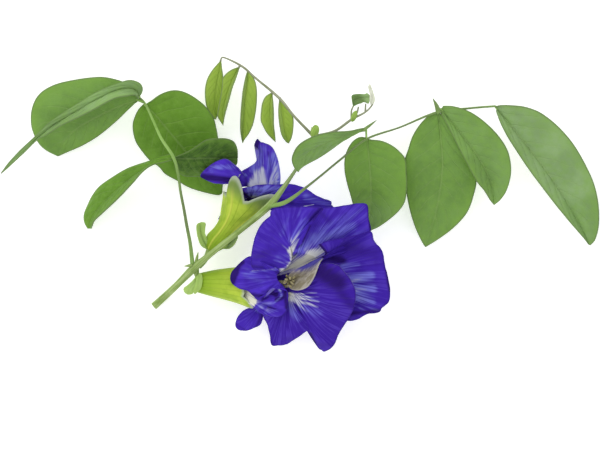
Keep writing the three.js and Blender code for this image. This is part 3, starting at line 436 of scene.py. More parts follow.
# Leaves. Each blade grows from its start on the rachis, and its edges lie left and right of its rib.
# Tones say how grey the rachis is along it, knee gives the radii of each leaflet's short stalk, and a
# spike is a pointed stipel: its three points, then the radius at its foot.
LEAVES = {
    "left_leaf": {
        "rachis": (
            (-33.4, -18.6, 11.6), (-34.1, -12.2, 12.8), (-35.1, -6.8, 14.2), (-36, -1.5, 15.2),
            (-37, 3.8, 16.4), (-37.8, 9.6, 17.6), (-39.2, 14.5, 18.3), (-43, 20.4, 18), (-45.4, 25.6, 17),
            (-48, 31, 15.4), (-50, 33.2, 14.6),
        ),
        "radii": (0.68, 0.56, 0.5, 0.46, 0.42, 0.42, 0.5, 0.44, 0.4, 0.36, 0.3),
        "tones": (0.3, 0.6, 0.9, 1, 0.8, 0.5, 0.2, 0, 0, 0.4, 1), "knee": (0.42, 0.47, 0.3),
        "spikes": (),
        "starts": (
            (-39.4, 14.6, 18.2), (-39, 13.6, 18.2), (-47.6, 30.4, 15.4), (-48.6, 31.6, 15.2),
            (-50, 33.2, 14.6),
        ),
        "blades": (
            {
                "rib": leaf_line(
                    (173, 158, 17.6), (160, 160.5, 16.4), (148, 167, 14.6), (132, 178, 12), (115, 192, 9),
                    (100, 207, 6), (91, 220, 3), (90, 228.4, 1),
                ),
                "left": leaf_edge(
                    (
                        (172, 160), (162, 163), (153, 164.9), (143.9, 171), (133.2, 182.5),
                        (122.5, 193.2), (110.2, 205.4), (101, 214.6), (94.9, 220.7), (92.6, 225.3),
                        (91.8, 228.4),
                    ),
                    (18, 18, 18, 18, 17.4, 16, 13, 9, 6, 4, 1.5),
                ),
                "right": leaf_edge(
                    (
                        (172, 153.5), (160, 157), (150.8, 160.7), (130, 168), (113.3, 177), (99.5, 186.3),
                        (91.8, 195.5), (87.2, 205.4), (84.2, 214.6), (84.6, 222.3), (88, 228.4),
                    ),
                    (17, 15, 12, 9, 6, 3.6, 2.4, 1.4, 0.8, 0.5, 0.4),
                ),
                "tone": 0,
            },
            {
                "rib": leaf_line(
                    (174, 158, 18.2), (190, 158.5, 17), (207, 158, 14.5), (224, 157.5, 12),
                    (237.5, 158, 10),
                ),
                "left": leaf_edge(
                    (
                        (176, 156.4), (186.7, 151.8), (197.5, 145.7), (206.6, 140.4), (217.4, 138.4),
                        (226.5, 138), (233.4, 141.1), (237.3, 148.8), (238, 158),
                    ),
                    (18.4, 19, 19.4, 19.4, 18.6, 17, 15, 12, 10.4),
                ),
                "right": leaf_edge(
                    (
                        (176, 163), (178, 171), (184, 175.5), (195, 176.6), (207, 178), (220, 178),
                        (230, 174), (237.5, 163),
                    ),
                    (16, 14, 12, 10, 8.4, 7.4, 8, 9.6),
                ),
                # This leaflet's deep tone is painted shade: it is tilted away from the light and lies under the
                # side flower's left petal.
                "tone": -1,
            },
            {
                "rib": leaf_line(
                    (145, 104.5, 14.6), (158, 118, 11.6), (172, 135, 9), (188, 154, 6), (205, 174, 3.4),
                    (222, 193, 1.4),
                ),
                "left": leaf_edge(
                    (
                        (150, 101.3), (159.2, 94.4), (168.4, 90.9), (177.6, 90.2), (186.7, 92.9),
                        (195.9, 98.3), (205.1, 105.9), (212.8, 116.6), (215.8, 127.3), (217.4, 136.5),
                        (219, 150), (221, 165), (223, 180), (222, 193),
                    ),
                    (14.4, 13.6, 12.6, 11.6, 10.4, 9, 7.6, 6.2, 5, 4, 3, 2.2, 1.6),
                ),
                "right": leaf_edge(
                    (
                        (144.6, 104.4), (138.5, 109.7), (134.7, 116.6), (132.4, 124.3), (133.2, 133.5),
                        (136.2, 142.7), (142.4, 151.8), (150, 160.3), (159.2, 167.1), (165.3, 174),
                        (177.6, 180.9), (188.3, 187), (202, 191.6), (217.4, 195), (222, 193.2),
                    ),
                    (14.4, 14, 13, 12, 10.6, 9, 7.4, 6, 4.6, 3.4, 2.6, 2, 1.4),
                ),
                "wave": 0.5, "tone": 0,
            },
            {
                "rib": leaf_line(
                    (138, 100, 14.4), (118, 107, 13), (97, 117, 10.6), (78, 128, 7.6), (64, 141, 4),
                    (58.2, 156.1, 0.4),
                ),
                "left": leaf_edge(
                    (
                        (137.5, 101), (127, 110.5), (116.3, 121.2), (99.5, 135), (85.7, 143.4),
                        (68.9, 151.1), (58.2, 156.1),
                    ),
                    (14, 12, 9.6, 6.4, 4.4, 2, 0.4),
                ),
                "right": leaf_edge(
                    (
                        (139, 95), (128, 84), (108, 77.3), (91.8, 76.9), (71.9, 79.9), (55.1, 84.5),
                        (42.9, 91.4), (35.2, 99.8), (31.2, 110.5), (30.8, 121.2), (33, 131), (39, 142.7),
                        (47, 150), (58.2, 156.1),
                    ),
                    (14.6, 14.4, 13.6, 12.4, 10.6, 9, 7.6, 6.4, 5, 3.6, 2.4, 1.4, 0.8, 0.4),
                ),
                "wave": 0.3, "tone": 0.3,
            },
            {
                "rib": leaf_line(
                    (139, 96.5, 15.4), (136, 91, 18.4), (127, 88.5, 20.6), (113, 92, 21), (92, 102.5, 19),
                    (76, 112, 16), (58, 122.5, 12), (42, 134, 8.6), (28, 147, 5.6), (12, 161.5, 2.4),
                    (0.6, 173.6, 0.4),
                ),
                "left": leaf_edge(
                    (
                        (138, 98.5), (135, 95.5), (127, 96), (113, 99), (91.8, 110.5), (76.5, 118.2),
                        (61.2, 125.8), (45.9, 135.5), (36, 141), (23, 154), (9, 167), (0.8, 174),
                    ),
                    (15.6, 20, 23.6, 24.6, 22, 18, 14, 10, 7.6, 4.6, 2, 0.4),
                ),
                "right": leaf_edge(
                    (
                        (141.5, 93), (142.4, 88), (139.3, 82.7), (130, 80.2), (119, 83), (99.5, 90.6),
                        (76.5, 104.4), (50.5, 121.2), (36.7, 134.5), (19.9, 150.3), (8, 163),
                        (0.5, 173.3),
                    ),
                    (15.5, 17, 18.6, 20, 20.6, 19.6, 16, 11.6, 8.6, 4.6, 2, 0.4),
                ),
                "tone": 0.8,
            },
        ),
    },
    "right_leaf": {
        "rachis": (
            (-9.6, -0.8, 23.4), (-4, 0.8, 24.6), (3.7, 6.5, 25), (12.4, 13.6, 24.2), (20.5, 20, 22.4),
            (30.9, 23.7, 20.8), (42.3, 28.3, 19), (52.7, 29.65, 18), (60.5, 30.3, 17),
        ),
        "radii": (0.7, 0.64, 0.36, 0.33, 0.34, 0.27, 0.36, 0.32, 0.32),
        "tones": (0.2, 0.5, 1, 1, 0.8, 1, 0.7, 0.8, 0.5), "knee": (0.3, 0.32, 0.26),
        "spikes": (
            ((19.5, 22.7, 24.4), (21.5, 24.2, 25), (23.6, 25.8, 25.4), 0.58),
            ((42.9, 28.3, 19.4), (42.2, 30.4, 20.4), (41.1, 32.6, 21), 0.88),
        ),
        "starts": (
            (20.5, 20.2, 22.4), (20.9, 20.1, 22.2), (42.3, 28.4, 18.8), (43, 28.6, 19), (60.5, 30.3, 17),
        ),
        "blades": (
            {
                "rib": leaf_line(
                    (366, 129.4, 24.4), (359, 130.6, 25.4), (348, 134, 27.6), (333, 139.5, 29.4),
                    (318, 146.5, 29.6), (305, 155.5, 27.6), (298, 172, 25),
                ),
                "left": leaf_edge(
                    (
                        (366, 131), (359.6, 132), (352.6, 135.4), (344, 141.2), (335.1, 147.1),
                        (320.8, 155.7), (306.5, 164.3), (300.4, 169), (298, 172),
                    ),
                    (24.2, 24, 23.4, 23, 22.8, 23.6, 25),
                ),
                "right": leaf_edge(
                    (
                        (366, 127.8), (359.6, 128.6), (350, 130.8), (335.1, 131.8), (320.8, 134.9),
                        (308.6, 139.4), (298.4, 145.5), (292.7, 153.7), (291.6, 160.8), (294.3, 168),
                        (298, 172),
                    ),
                    (24.6, 26, 30, 33, 34.6, 34.6, 32.6, 29.6, 27, 25),
                ),
                "tone": 0.5,
            },
            {
                "rib": leaf_line(
                    (367, 139, 21.4), (369, 160, 18), (371, 185, 14.4), (370, 210, 9.6), (364.5, 238, 5),
                ),
                "left": leaf_edge(
                    (
                        (370.8, 139.4), (382, 140.4), (392.2, 145.5), (400.4, 152.7), (405.5, 159.8),
                        (406.5, 172), (406.9, 184.3), (404.9, 200.6), (398.4, 210.8), (388.2, 220),
                        (378, 227.1), (370.8, 230.6), (364, 238),
                    ),
                    (21.6, 21, 20, 18.8, 17.6, 16, 14.2, 12, 10.4, 8.6, 7, 6, 5),
                ),
                "right": leaf_edge(
                    (
                        (365.7, 138.4), (359.6, 137.3), (352.4, 141.4), (347.3, 149.6), (344.5, 159.8),
                        (344.9, 172), (347.3, 184.3), (350.4, 194.5), (352.4, 202.7), (355, 215),
                        (358, 228), (364, 238),
                    ),
                    (21.6, 21.4, 20.4, 19.2, 17.6, 15.8, 14, 12.4, 10.8, 8.8, 6.8, 5),
                ),
                "wave": 0.4, "tone": (0.2, 0.45),
            },
            {
                "rib": leaf_line(
                    (438, 112, 18.8), (441, 140, 16), (442.5, 170, 12), (437, 208, 6.4),
                    (425.3, 247, 0.4),
                ),
                "left": leaf_edge(
                    (
                        (441.2, 113.9), (449.4, 125.1), (461.6, 145.5), (471.8, 163.9), (476.3, 180.2),
                        (473.9, 194.5), (467.8, 210.8), (455.5, 225.1), (441.2, 237.3), (425.3, 247.1),
                    ),
                    (18.8, 17.8, 15.8, 13.4, 11, 8.8, 6.4, 4.2, 2.2, 0.4),
                ),
                "right": leaf_edge(
                    (
                        (438.2, 111.8), (431, 113.9), (420.8, 123.1), (412.7, 135.3), (407.6, 149.6),
                        (404.9, 159.8), (406.1, 176.1), (406.5, 192.4), (409.6, 208.8), (414.7, 225.1),
                        (420.8, 239.4), (425.3, 247.1),
                    ),
                    (18.8, 18.4, 17.6, 16.4, 14.8, 13.4, 11.4, 9, 6.6, 4.2, 1.8, 0.4),
                ),
                "wave": 0.5, "tone": 0.3,
            },
            {
                "rib": leaf_line(
                    (441, 109, 19), (462, 135, 18), (480, 160, 16), (491, 184, 12.6), (494, 205, 9),
                ),
                "left": leaf_edge(
                    (
                        (443.3, 105.7), (453.5, 106.3), (467.8, 110.8), (482, 120), (496.3, 133.3),
                        (506.5, 147.6), (510.6, 161.8), (510.6, 176.1), (506.5, 190.4), (500.4, 199.6),
                        (493.9, 205.1),
                    ),
                    (19.4, 20.4, 20.8, 20.4, 19.4, 18, 16.4, 14.6, 12.6, 10.8, 9),
                ),
                "right": leaf_edge(
                    (
                        (439.2, 110.8), (449.4, 129.2), (461.6, 153.7), (475.9, 180.2), (484, 190.4),
                        (490.2, 200.6), (493.9, 205.1),
                    ),
                    (19, 19, 18.4, 15.8, 13.4, 10.4, 9),
                ),
                "tone": 0.45,
            },
            {
                "rib": leaf_line(
                    (496, 107.5, 16.6), (515, 131, 14.6), (535, 156, 11.6), (551.5, 178.5, 8.4),
                    (566, 201, 5), (580, 225, 2.2), (589.5, 245, 0.4),
                ),
                "left": leaf_edge(
                    (
                        (495.3, 106.7), (500.4, 105.1), (510.6, 105.3), (524.9, 106.7), (539.2, 111.8),
                        (553.5, 122), (565.7, 134.3), (575.9, 147.6), (586.1, 165.9), (594.3, 184.3),
                        (598.4, 204.7), (598.8, 225.1), (595.3, 239.4), (590.2, 245.5),
                    ),
                    (17, 17.2, 17.6, 17.6, 17.4, 16.6, 15, 13, 11, 9, 7, 4.6, 2.4, 0.6),
                ),
                "right": leaf_edge(
                    (
                        (496.3, 110.8), (499.4, 121), (506.5, 135.3), (516.7, 151.6), (529, 170),
                        (541.2, 186.3), (555.5, 204.7), (569.8, 222), (582, 236.3), (588.2, 244.5),
                    ),
                    (16.6, 16.4, 15.6, 14.2, 12, 9.6, 7, 4.2, 1.8, 0.6),
                ),
                "wave": 0.2, "tone": (1.4, 0.7),
            },
        ),
    },
    "young_leaf": {
        "rachis": (
            (4.2, 20.9, 17), (-1.9, 27.3, 16.4), (-6.5, 32.9, 14.6), (-13.9, 39.2, 11), (-18, 42.8, 8.8),
            (-23.6, 45.6, 6), (-24.8, 44.8, 5.4),
        ),
        "radii": (0.5, 0.4, 0.44, 0.34, 0.36, 0.24, 0.26),
        "tones": (0, 0), "knee": (0.32, 0.36, 0.2),
        "spikes": (),
        "starts": (
            (-24.8, 44.8, 5.4), (-18.6, 43, 8.6), (-15.6, 40.8, 10.2), (-8.6, 34.6, 13.8),
            (-6.3, 32.7, 14.4),
        ),
        "blades": (
            {
                "rib": leaf_line(
                    (220.7, 60.8, 5.2), (219.4, 72, 5.1), (216.6, 87, 4.7), (215, 103, 3.2),
                    (215.7, 119.7, 0.5),
                ),
                "left": leaf_edge(
                    (
                        (221.5, 60.8), (222.4, 70), (223.4, 80), (222.4, 91.5), (220, 103.9),
                        (217.8, 114), (215.7, 119.7),
                    ),
                    (5.2, 5.2, 4.8, 4.2, 3.2, 1.6, 0.5),
                ),
                "right": leaf_edge(
                    (
                        (219.9, 60.8), (212.4, 69.9), (207.4, 78.2), (205.4, 87.3), (205, 96.4),
                        (206.2, 106.4), (209.9, 113), (214.1, 118.6), (215.7, 119.7),
                    ),
                    (5.2, 5.6, 5.8, 5.6, 5, 4, 2.8, 1.4, 0.5),
                ),
                "tone": 0,
            },
            {
                "rib": leaf_line(
                    (238.6, 67.6, 8.4), (233.2, 79, 8.8), (228.6, 90, 8.5), (225.4, 101, 7.8),
                    (223, 112, 6.8), (223.2, 125.6, 5.4),
                ),
                "left": leaf_edge(
                    (
                        (239.4, 67.8), (236.5, 77.4), (232.7, 87.3), (230.2, 96.4), (227.3, 106.4),
                        (224.9, 116.3), (223.2, 125.9),
                    ),
                    (8.6, 9, 8.8, 8.2, 7.4, 6.4, 5.4),
                ),
                "right": leaf_edge(
                    (
                        (238.1, 67), (231.5, 69.5), (225.7, 74), (222.4, 79), (222, 84), (221.3, 91.5),
                        (219, 103.9), (217.4, 115), (219.6, 120.6), (223.2, 125.9),
                    ),
                    (8.6, 9.4, 9.8, 9.8, 9.6, 9, 8.2, 7.2, 6.4, 5.4),
                ),
                "tone": -0.35, "strip": 0.9,
            },
            {
                "rib": leaf_line(
                    (248, 71, 10), (247.2, 85, 10.4), (245.4, 100, 10), (244, 118, 8.9),
                    (242.9, 132, 7.4), (242.7, 142.9, 6.4),
                ),
                "left": leaf_edge(
                    (
                        (248.5, 71.1), (253.9, 78.2), (256.4, 87.3), (256.8, 99.8), (255.5, 113),
                        (253, 124.6), (248.9, 133.7), (244.8, 139.6), (242.7, 142.9),
                    ),
                    (10.2, 10.6, 10.6, 10.2, 9.6, 8.8, 7.8, 7, 6.4),
                ),
                "right": leaf_edge(
                    (
                        (247.2, 71.6), (244.8, 79), (242.7, 91.5), (241.8, 101.4), (240.6, 116.3),
                        (240.2, 128.8), (241.4, 137.9), (242.7, 142.9),
                    ),
                    (10.2, 11, 11.2, 10.8, 9.8, 8.6, 7.4, 6.4),
                ),
                "tone": -0.35, "strip": -0.9,
            },
            {
                "rib": leaf_line(
                    (272, 93.5, 13.6), (270.6, 103, 14), (270.2, 113, 13.8), (271, 124, 13.2),
                    (273.5, 134, 12.2), (275.5, 141.8, 11.4),
                ),
                "left": leaf_edge(
                    (
                        (272.5, 93.9), (273.4, 103.1), (273.8, 113), (273.8, 124.6), (275, 133.7),
                        (275.6, 142),
                    ),
                    (13.8, 13.8, 13.6, 13, 12.2, 11.4),
                ),
                "right": leaf_edge(
                    (
                        (270.9, 92.7), (265.5, 96.4), (262.2, 103.1), (261.3, 109.7), (260.5, 119.7),
                        (263, 126.3), (267.1, 133.7), (272.9, 139.6), (275.6, 142),
                    ),
                    (13.8, 14.6, 15, 15, 14.6, 14, 13.2, 12.2, 11.4),
                ),
                "tone": -0.35, "strip": 0.9,
            },
            {
                "rib": leaf_line(
                    (280, 98, 14.2), (282, 108, 15), (283.4, 119, 14.9), (285.2, 131, 14.2),
                    (288.5, 142.5, 13),
                ),
                "left": leaf_edge(
                    (
                        (280.4, 98.1), (286.2, 104.7), (291.2, 111.4), (293.7, 118.8), (293.3, 129.6),
                        (291.6, 137.9), (288.7, 143.3),
                    ),
                    (14.4, 15.4, 16, 16, 15.4, 14.2, 13),
                ),
                "right": leaf_edge(
                    (
                        (279.2, 98.1), (278.3, 106.4), (278.3, 116.3), (279.6, 127.1), (282.1, 136.2),
                        (286.2, 142), (288.7, 143.3),
                    ),
                    (14.4, 15, 15.2, 14.8, 14.2, 13.4, 13),
                ),
                "tone": -0.35, "strip": -0.9,
            },
        ),
    },
}

# The growing tip, and the stalks of its leaflets
TIP_PATH = ((4.8, 20.9, 17.2), (10.8, 22.6, 18.4), (15.9, 26.1, 19), (20.2, 28.4, 19.4), (22.3, 30.6, 19.6),
            (22.8, 32.2, 19.8))
TIP_RADII = (0.56, 0.42, 0.4, 0.28, 0.24, 0.14)
TIP_STALKS = (
    ((15.9, 26.2, 19), (15.9, 28.7, 19.6), (16.5, 30.3, 20)),
    ((20.2, 28.5, 19.4), (20.3, 31, 20)),
    ((17.7, 28.2, 19.6), (18.1, 30.1, 19.8)),
)
# A folded leaflet and one that unfolds
TIP_LEAFLETS = (
    {"rib": ((16.5, 30.2, 20), (17, 32, 20.6), (18.3, 32.6, 20.8), (19.9, 32.9, 20.8), (21.7, 33.1, 20.4)),
     "left": ((16.4, 30.2, 20), (16, 32.3, 20.8), (16, 33.5, 21.4), (17.1, 33.9, 21.8), (18.6, 34, 21.8),
              (19.9, 33.9, 21.6), (20.9, 34.2, 21.2), (21.7, 33.2, 20.4)),
     "right": ((16.6, 30.2, 20), (17.2, 30.5, 20.4), (18.1, 30.9, 20.8), (18.9, 31.1, 20.8),
               (19.6, 31.5, 20.8), (20.4, 31.3, 20.6), (21.2, 31.1, 20.4), (21.7, 33, 20.4)),
     "tone": (0, 1)},
    {"rib": ((22, 30.6, 19.6), (22.4, 32.8, 20.4), (22.2, 34.7, 21), (21.5, 37.1, 21.2)),
     "left": ((21.8, 30.7, 19.7), (21.5, 32.3, 20.6), (21.5, 34.2, 21.2), (21.1, 36.1, 21.4),
              (21.4, 37.1, 21.2)),
     "right": ((22.2, 30.7, 19.7), (23.1, 31.6, 20.4), (22.9, 33.5, 21), (22.1, 35.9, 21.4),
               (21.6, 37.1, 21.2))},
)
# Each bud's place, direction, length and width
TIP_BUDS = (
    ((16.8, 27.3, 19.6), (0.4, 1, 0.2), 3.4, 1.6),
    ((4.6, 22.6, 18.4), (0.3, 1, 0.3), 4, 2.4),
)

# Side veins of a leaflet: how many leave the midrib on each side, and how steeply they climb
VEINS = 8
VEIN_CLIMB = 1.5
VEIN_BEND = 0.7

# A leaflet: half the width of the furrow over its midrib, the half waves of its edge, and how far that
# edge flutters, as a share of the half blade's width
FURROW_WIDTH = 0.45
EDGE_WAVES = 3.2
FLUTTER = 0.04
# How far a blade swells between its veins, where it isn't a grown leaf's. A young leaf's is a share of that.
YOUNG_RELIEF = 0.35
TIP_RELIEF = 0.05
BRACT_RELIEF = 0.08
KEEL_RELIEF = 0.1

# A petal: the share of its length that is its claw, and how wide its folds, its fine crinkles and the
# bays of its rim are
CLAW_SHARE = 0.22
FOLD_WIDTH = 4.5
CRINKLE_WIDTH = 1.6
BAY_WIDTH = 2.6
# The keel's wall is this many times as thick as a petal.
KEEL_WALL = 1.4

# How far ribs stand out from a calyx, and ridges and knots from the stem
CALYX_RIB = 0.16
STEM_RIDGES = 5
STEM_RIDGE = 0.05
STEM_KNOT = 0.12
# The ring of tissue round the pith at the stem's cut end, and how far the pith is sunk, in metres
CUT_RING = 0.00022
CUT_DEPTH = 0.00006

# Radii of the small stalks, from foot to end
STIPULE_RADII = (0.5, 0.42, 0.08)
PEDICEL_RADII = (0.9, 0.85, 1.1)
TIP_STALK_RADII = (0.3, 0.27, 0.22)
KEEL_STALK_RADII = (0.4, 0.45, 0.45, 0.4)
STAMEN_TUBE_RADII = (0.45, 0.5, 0.5, 0.4)
FILAMENT_RADII = (0.16, 0.14, 0.1)

ANTHERS = 9
ANTHER_LENGTH = 1.7
ANTHER_WIDTH = 0.8

# The least height of a blade over the table
CLEARANCE = 0.2
# In metres: points this near to each other are one, and an open edge this near to a calyx's foot is filled
SAME_PLACE = 1e-7
FOOT_REACH = 0.003

# Faces across and along each kind of piece
STEM_GRID = (30, 220)
RACHIS_GRID = (14, 120)
TIP_GRID = (12, 80)
STAMEN_TUBE_GRID = (14, 50)
KEEL_STALK_GRID = (12, 50)
PEDICEL_GRID = (14, 24)
KNEE_GRID = (10, 12)
SPIKE_GRID = (8, 12)
STIPULE_GRID = (10, 8)
FILAMENT_GRID = (8, 10)
TIP_STALK_GRID = (8, 16)
LEAFLET_GRID = (32, 84)
YOUNG_LEAFLET_GRID = (20, 48)
TIP_LEAFLET_GRID = (16, 30)
BRACT_GRID = (20, 36)
CUP_GRID = (100, 40)
PETAL_GRID = (110, 66)
KEEL_GRID = (36, 50)

# The lamp and the camera. The camera looks at a point a little off the middle, as the photograph does,
# and the picture is as wide as PICTURE_WIDTH at the height of MIDDLE_HEIGHT.
LAMP_PLACE = (-0.75, 0.85, 1.25)
LAMP_SIZE = 1.1
SENSOR_WIDTH = 36
LOOK_AT = (0.00012, -0.00665)
PICTURE_WIDTH = 0.186
MIDDLE_HEIGHT = 0.015


def linear(code):
    """A linear colour from an sRGB hex code."""
    parts = [int(code[i : i + 2], 16) / 255 for i in (0, 2, 4)]
    return tuple(c / 12.92 if c <= 0.04045 else ((c + 0.055) / 1.055) ** 2.4 for c in parts)


def mix(a, b, t):
    return a + (b - a) * t


def smooth(low, high, x):
    """0 up to low and 1 from high on, with a soft step between them."""
    t = min(1.0, max(0.0, (x - low) / (high - low)))
    return t * t * (3 - 2 * t)


# Curves and frames, as in the part's source


def through(points):
    """A smooth curve through points, as a function of 0 to 1."""
    points = [Vector(p) for p in points]
    ends = [2 * points[0] - points[1], *points, 2 * points[-1] - points[-2]]
    last = len(points) - 1

    def at(t):
        place = min(1.0, max(0.0, t)) * last
        k = min(int(place), last - 1)
        f = place - k
        before, a, b, after = ends[k : k + 4]
        out_a, into_b = (b - before) / 2, (after - a) / 2
        return (
            a * (2 * f**3 - 3 * f**2 + 1)
            + out_a * (f**3 - 2 * f**2 + f)
            + b * (3 * f**2 - 2 * f**3)
            + into_b * (f**3 - f**2)
        )

    return at


def eased(numbers):
    """A number that eases through the ones given, as a function of 0 to 1."""
    curve = through([(n, 0, 0) for n in numbers])
    return lambda t: curve(t).x


def length_of(path, steps):
    return sum((path((i + 1) / steps) - path(i / steps)).length for i in range(steps))


def paced(points, steps=160):
    """A smooth curve through points that runs at an even pace, and its length."""
    curve = through(points)
    spots = [curve(i / steps) for i in range(steps + 1)]
    reached = [0.0]
    for a, b in zip(spots, spots[1:]):
        reached.append(reached[-1] + (b - a).length)

    def at(t):
        goal = min(1.0, max(0.0, t)) * reached[-1]
        k = min(steps, max(1, bisect.bisect_left(reached, goal)))
        return spots[k - 1].lerp(spots[k], (goal - reached[k - 1]) / max(1e-9, reached[k] - reached[k - 1]))

    return at, reached[-1]


def tangent_of(path, t, reach=1e-3):
    return (path(min(1, t + reach)) - path(max(0, t - reach))).normalized()


def across_axes(tangent):
    """The level direction to the left of a tangent, and the one square to both."""
    side = UP.cross(tangent).normalized()
    return side, tangent.cross(side)


# Meshes


def marked(bm, name):
    """The layer of a bmesh that holds one of a piece's attributes."""
    return bm.verts.layers.float_vector.get(name) or bm.verts.layers.float_vector.new(name)


def lay(bm, grid, surface, marks=(), material=0, close=False, least=CLEARANCE):
    """Lays a grid on surface(u, v), which gives a point in millimetres and a value for each mark.
    close joins its two long edges into a tube and fills the tube's ends."""
    layers = [marked(bm, name) for name in marks]
    verts = bmesh.ops.create_grid(bm, x_segments=grid[0], y_segments=grid[1], size=0.5)["verts"]
    for vert in verts:
        point, *values = surface(vert.co.x + 0.5, vert.co.y + 0.5)
        for layer, value in zip(layers, values):
            vert[layer] = value
        point = point + FROM_MIDDLE
        point.z = max(least, point.z)
        vert.co = point * MM
    faces = {f for v in verts for f in v.link_faces}
    for face in faces:
        face.smooth = True
        face.material_index = material
        face.normal_update()
    if close:
        bmesh.ops.remove_doubles(bm, verts=verts, dist=SAME_PLACE)
        edges = [e for e in bm.edges if e.is_boundary]
        for cap in bmesh.ops.holes_fill(bm, edges=edges, sides=0)["faces"]:
            cap.material_index = material


def tube(bm, points, radii, grid, relief=None, tones=(0, 0)):
    """A round stalk along a curve, marked with the turn round it, the millimetres along it and its tone."""
    path, radius_at, tone_at = through(points), eased(radii), eased(tones)
    length = length_of(path, 50)

    def surface(u, v):
        side, up = across_axes(tangent_of(path, v))
        angle = -math.tau * u
        radius = max(0.02, radius_at(v) + (relief(u, v) if relief else 0))
        spot = path(v) + side * (radius * math.cos(angle)) + up * (radius * math.sin(angle))
        return spot, Vector((u, v * length, tone_at(v)))

    lay(bm, grid, surface, ("stalk",), close=True, least=0)


def bead(bm, at, along, length, width, seed=0, material=0):
    """A small rounded body with a furrowed side, such as a bud or an anther."""
    layer = marked(bm, "stalk")
    turn = UP.rotation_difference(Vector(along).normalized()).to_matrix().to_4x4()
    shape = Matrix.Diagonal((width / 2, width / 2, length / 2, 1))
    place = Matrix.Translation(Vector(at) + FROM_MIDDLE)
    verts = bmesh.ops.create_uvsphere(bm, u_segments=14, v_segments=10, radius=1)["verts"]
    for vert in verts:
        turned = math.atan2(vert.co.y, vert.co.x) / math.tau + 0.5
        vert[layer] = Vector((turned, vert.co.z * length / 2, seed))
        vert.co *= 1 + 0.12 * math.cos(2 * math.tau * turned + seed) - 0.1 * vert.co.z
    bmesh.ops.transform(bm, matrix=Matrix.Scale(MM, 4) @ place @ turn @ shape, verts=verts)
    for face in {f for v in verts for f in v.link_faces}:
        face.smooth = True
        face.material_index = material


def vein_phase(s, t):
    """Whole numbers of this lie on the side veins, at s across from the rib and t along it."""
    return t * VEINS - VEIN_CLIMB * abs(s) - VEIN_BEND * s * s + (0.5 if s < 0 else 0)


def leaflet_surface(rib, left, right, wave=0, bow=0.05, seed=0, relief=0.14, tone=0.4, strip=0):
    """One leaflet or bract between its edges, left and right of its rib as it grows. It has the furrow of
    its midrib, a swell between its veins, and a bow across each half, as a share of that half's width.
    Its tone may change from its base to its tip, and strip adds tone to its left half, or to its right
    half where it is below 0."""
    (middle, length), (left, _), (right, _) = paced(rib), paced(left), paced(right)
    tones = tone if isinstance(tone, tuple) else (tone, tone)

    def surface(u, v):
        t = mix(0.002, 0.998, v)
        s = 1 - 2 * u
        a, b, centre = left(t), right(t), middle(t)
        edge = a if s > 0 else b
        normal = tangent_of(middle, t, 0.05).cross(a - b).normalized()
        half = (edge - centre).length
        reach = s * half
        ripple = wave * s * s * math.sin(EDGE_WAVES * math.pi * t + s) * smooth(1, 0.85, t)
        flutter = FLUTTER * half * s * s * math.sin(9 * t + 4 * s + 2.3 * seed) * smooth(0, 0.3, t)
        swell = relief * (0.5 - 0.5 * math.cos(math.tau * vein_phase(s, t)))
        swell *= smooth(0, 0.15, abs(s)) * smooth(1, 0.7, abs(s)) * smooth(0, 0.12, t) * smooth(1, 0.8, t)
        furrow = -relief * math.exp(-((reach / FURROW_WIDTH) ** 2)) * (1 - 0.7 * t)
        bowed = bow * half * math.sin(math.pi * abs(s))
        spot = centre.lerp(edge, abs(s)) + normal * (ripple + flutter + swell + furrow + bowed)
        shown = mix(*tones, smooth(0.5, 0.8, t)) + abs(strip) * smooth(0, 0.35, math.copysign(s, strip * s))
        return spot, Vector((s, t, seed)), Vector((reach, t * length, shown))

    return surface


def claw_points(axis, degrees, depth, ring, *further):
    """A claw's points: it starts inside the calyx, at its own place on a ring round the axis."""
    base, mouth = map(Vector, axis)
    side, up = across_axes((mouth - base).normalized())
    angle = math.radians(degrees)
    out = side * (ring * math.cos(angle)) + up * (ring * math.sin(angle))
    return [base.lerp(mouth, depth) + out, base.lerp(mouth, 1.1) + out, *map(Vector, further)]


def stroke(marks, x, y, fade=0.0):
    """The strength of the strongest brush stroke at a place. Strokes may fade towards their ends."""
    best = 0
    for x0, y0, x1, y1, width, strength in marks:
        run_x, run_y = x1 - x0, y1 - y0
        share = ((x - x0) * run_x + (y - y0) * run_y) / max(1e-6, run_x**2 + run_y**2)
        share = min(1, max(0, share))
        away = math.hypot(x - x0 - share * run_x, y - y0 - share * run_y)
        best = max(best, strength * (1 - fade * share) * math.exp(-((away / width) ** 2)))
    return best


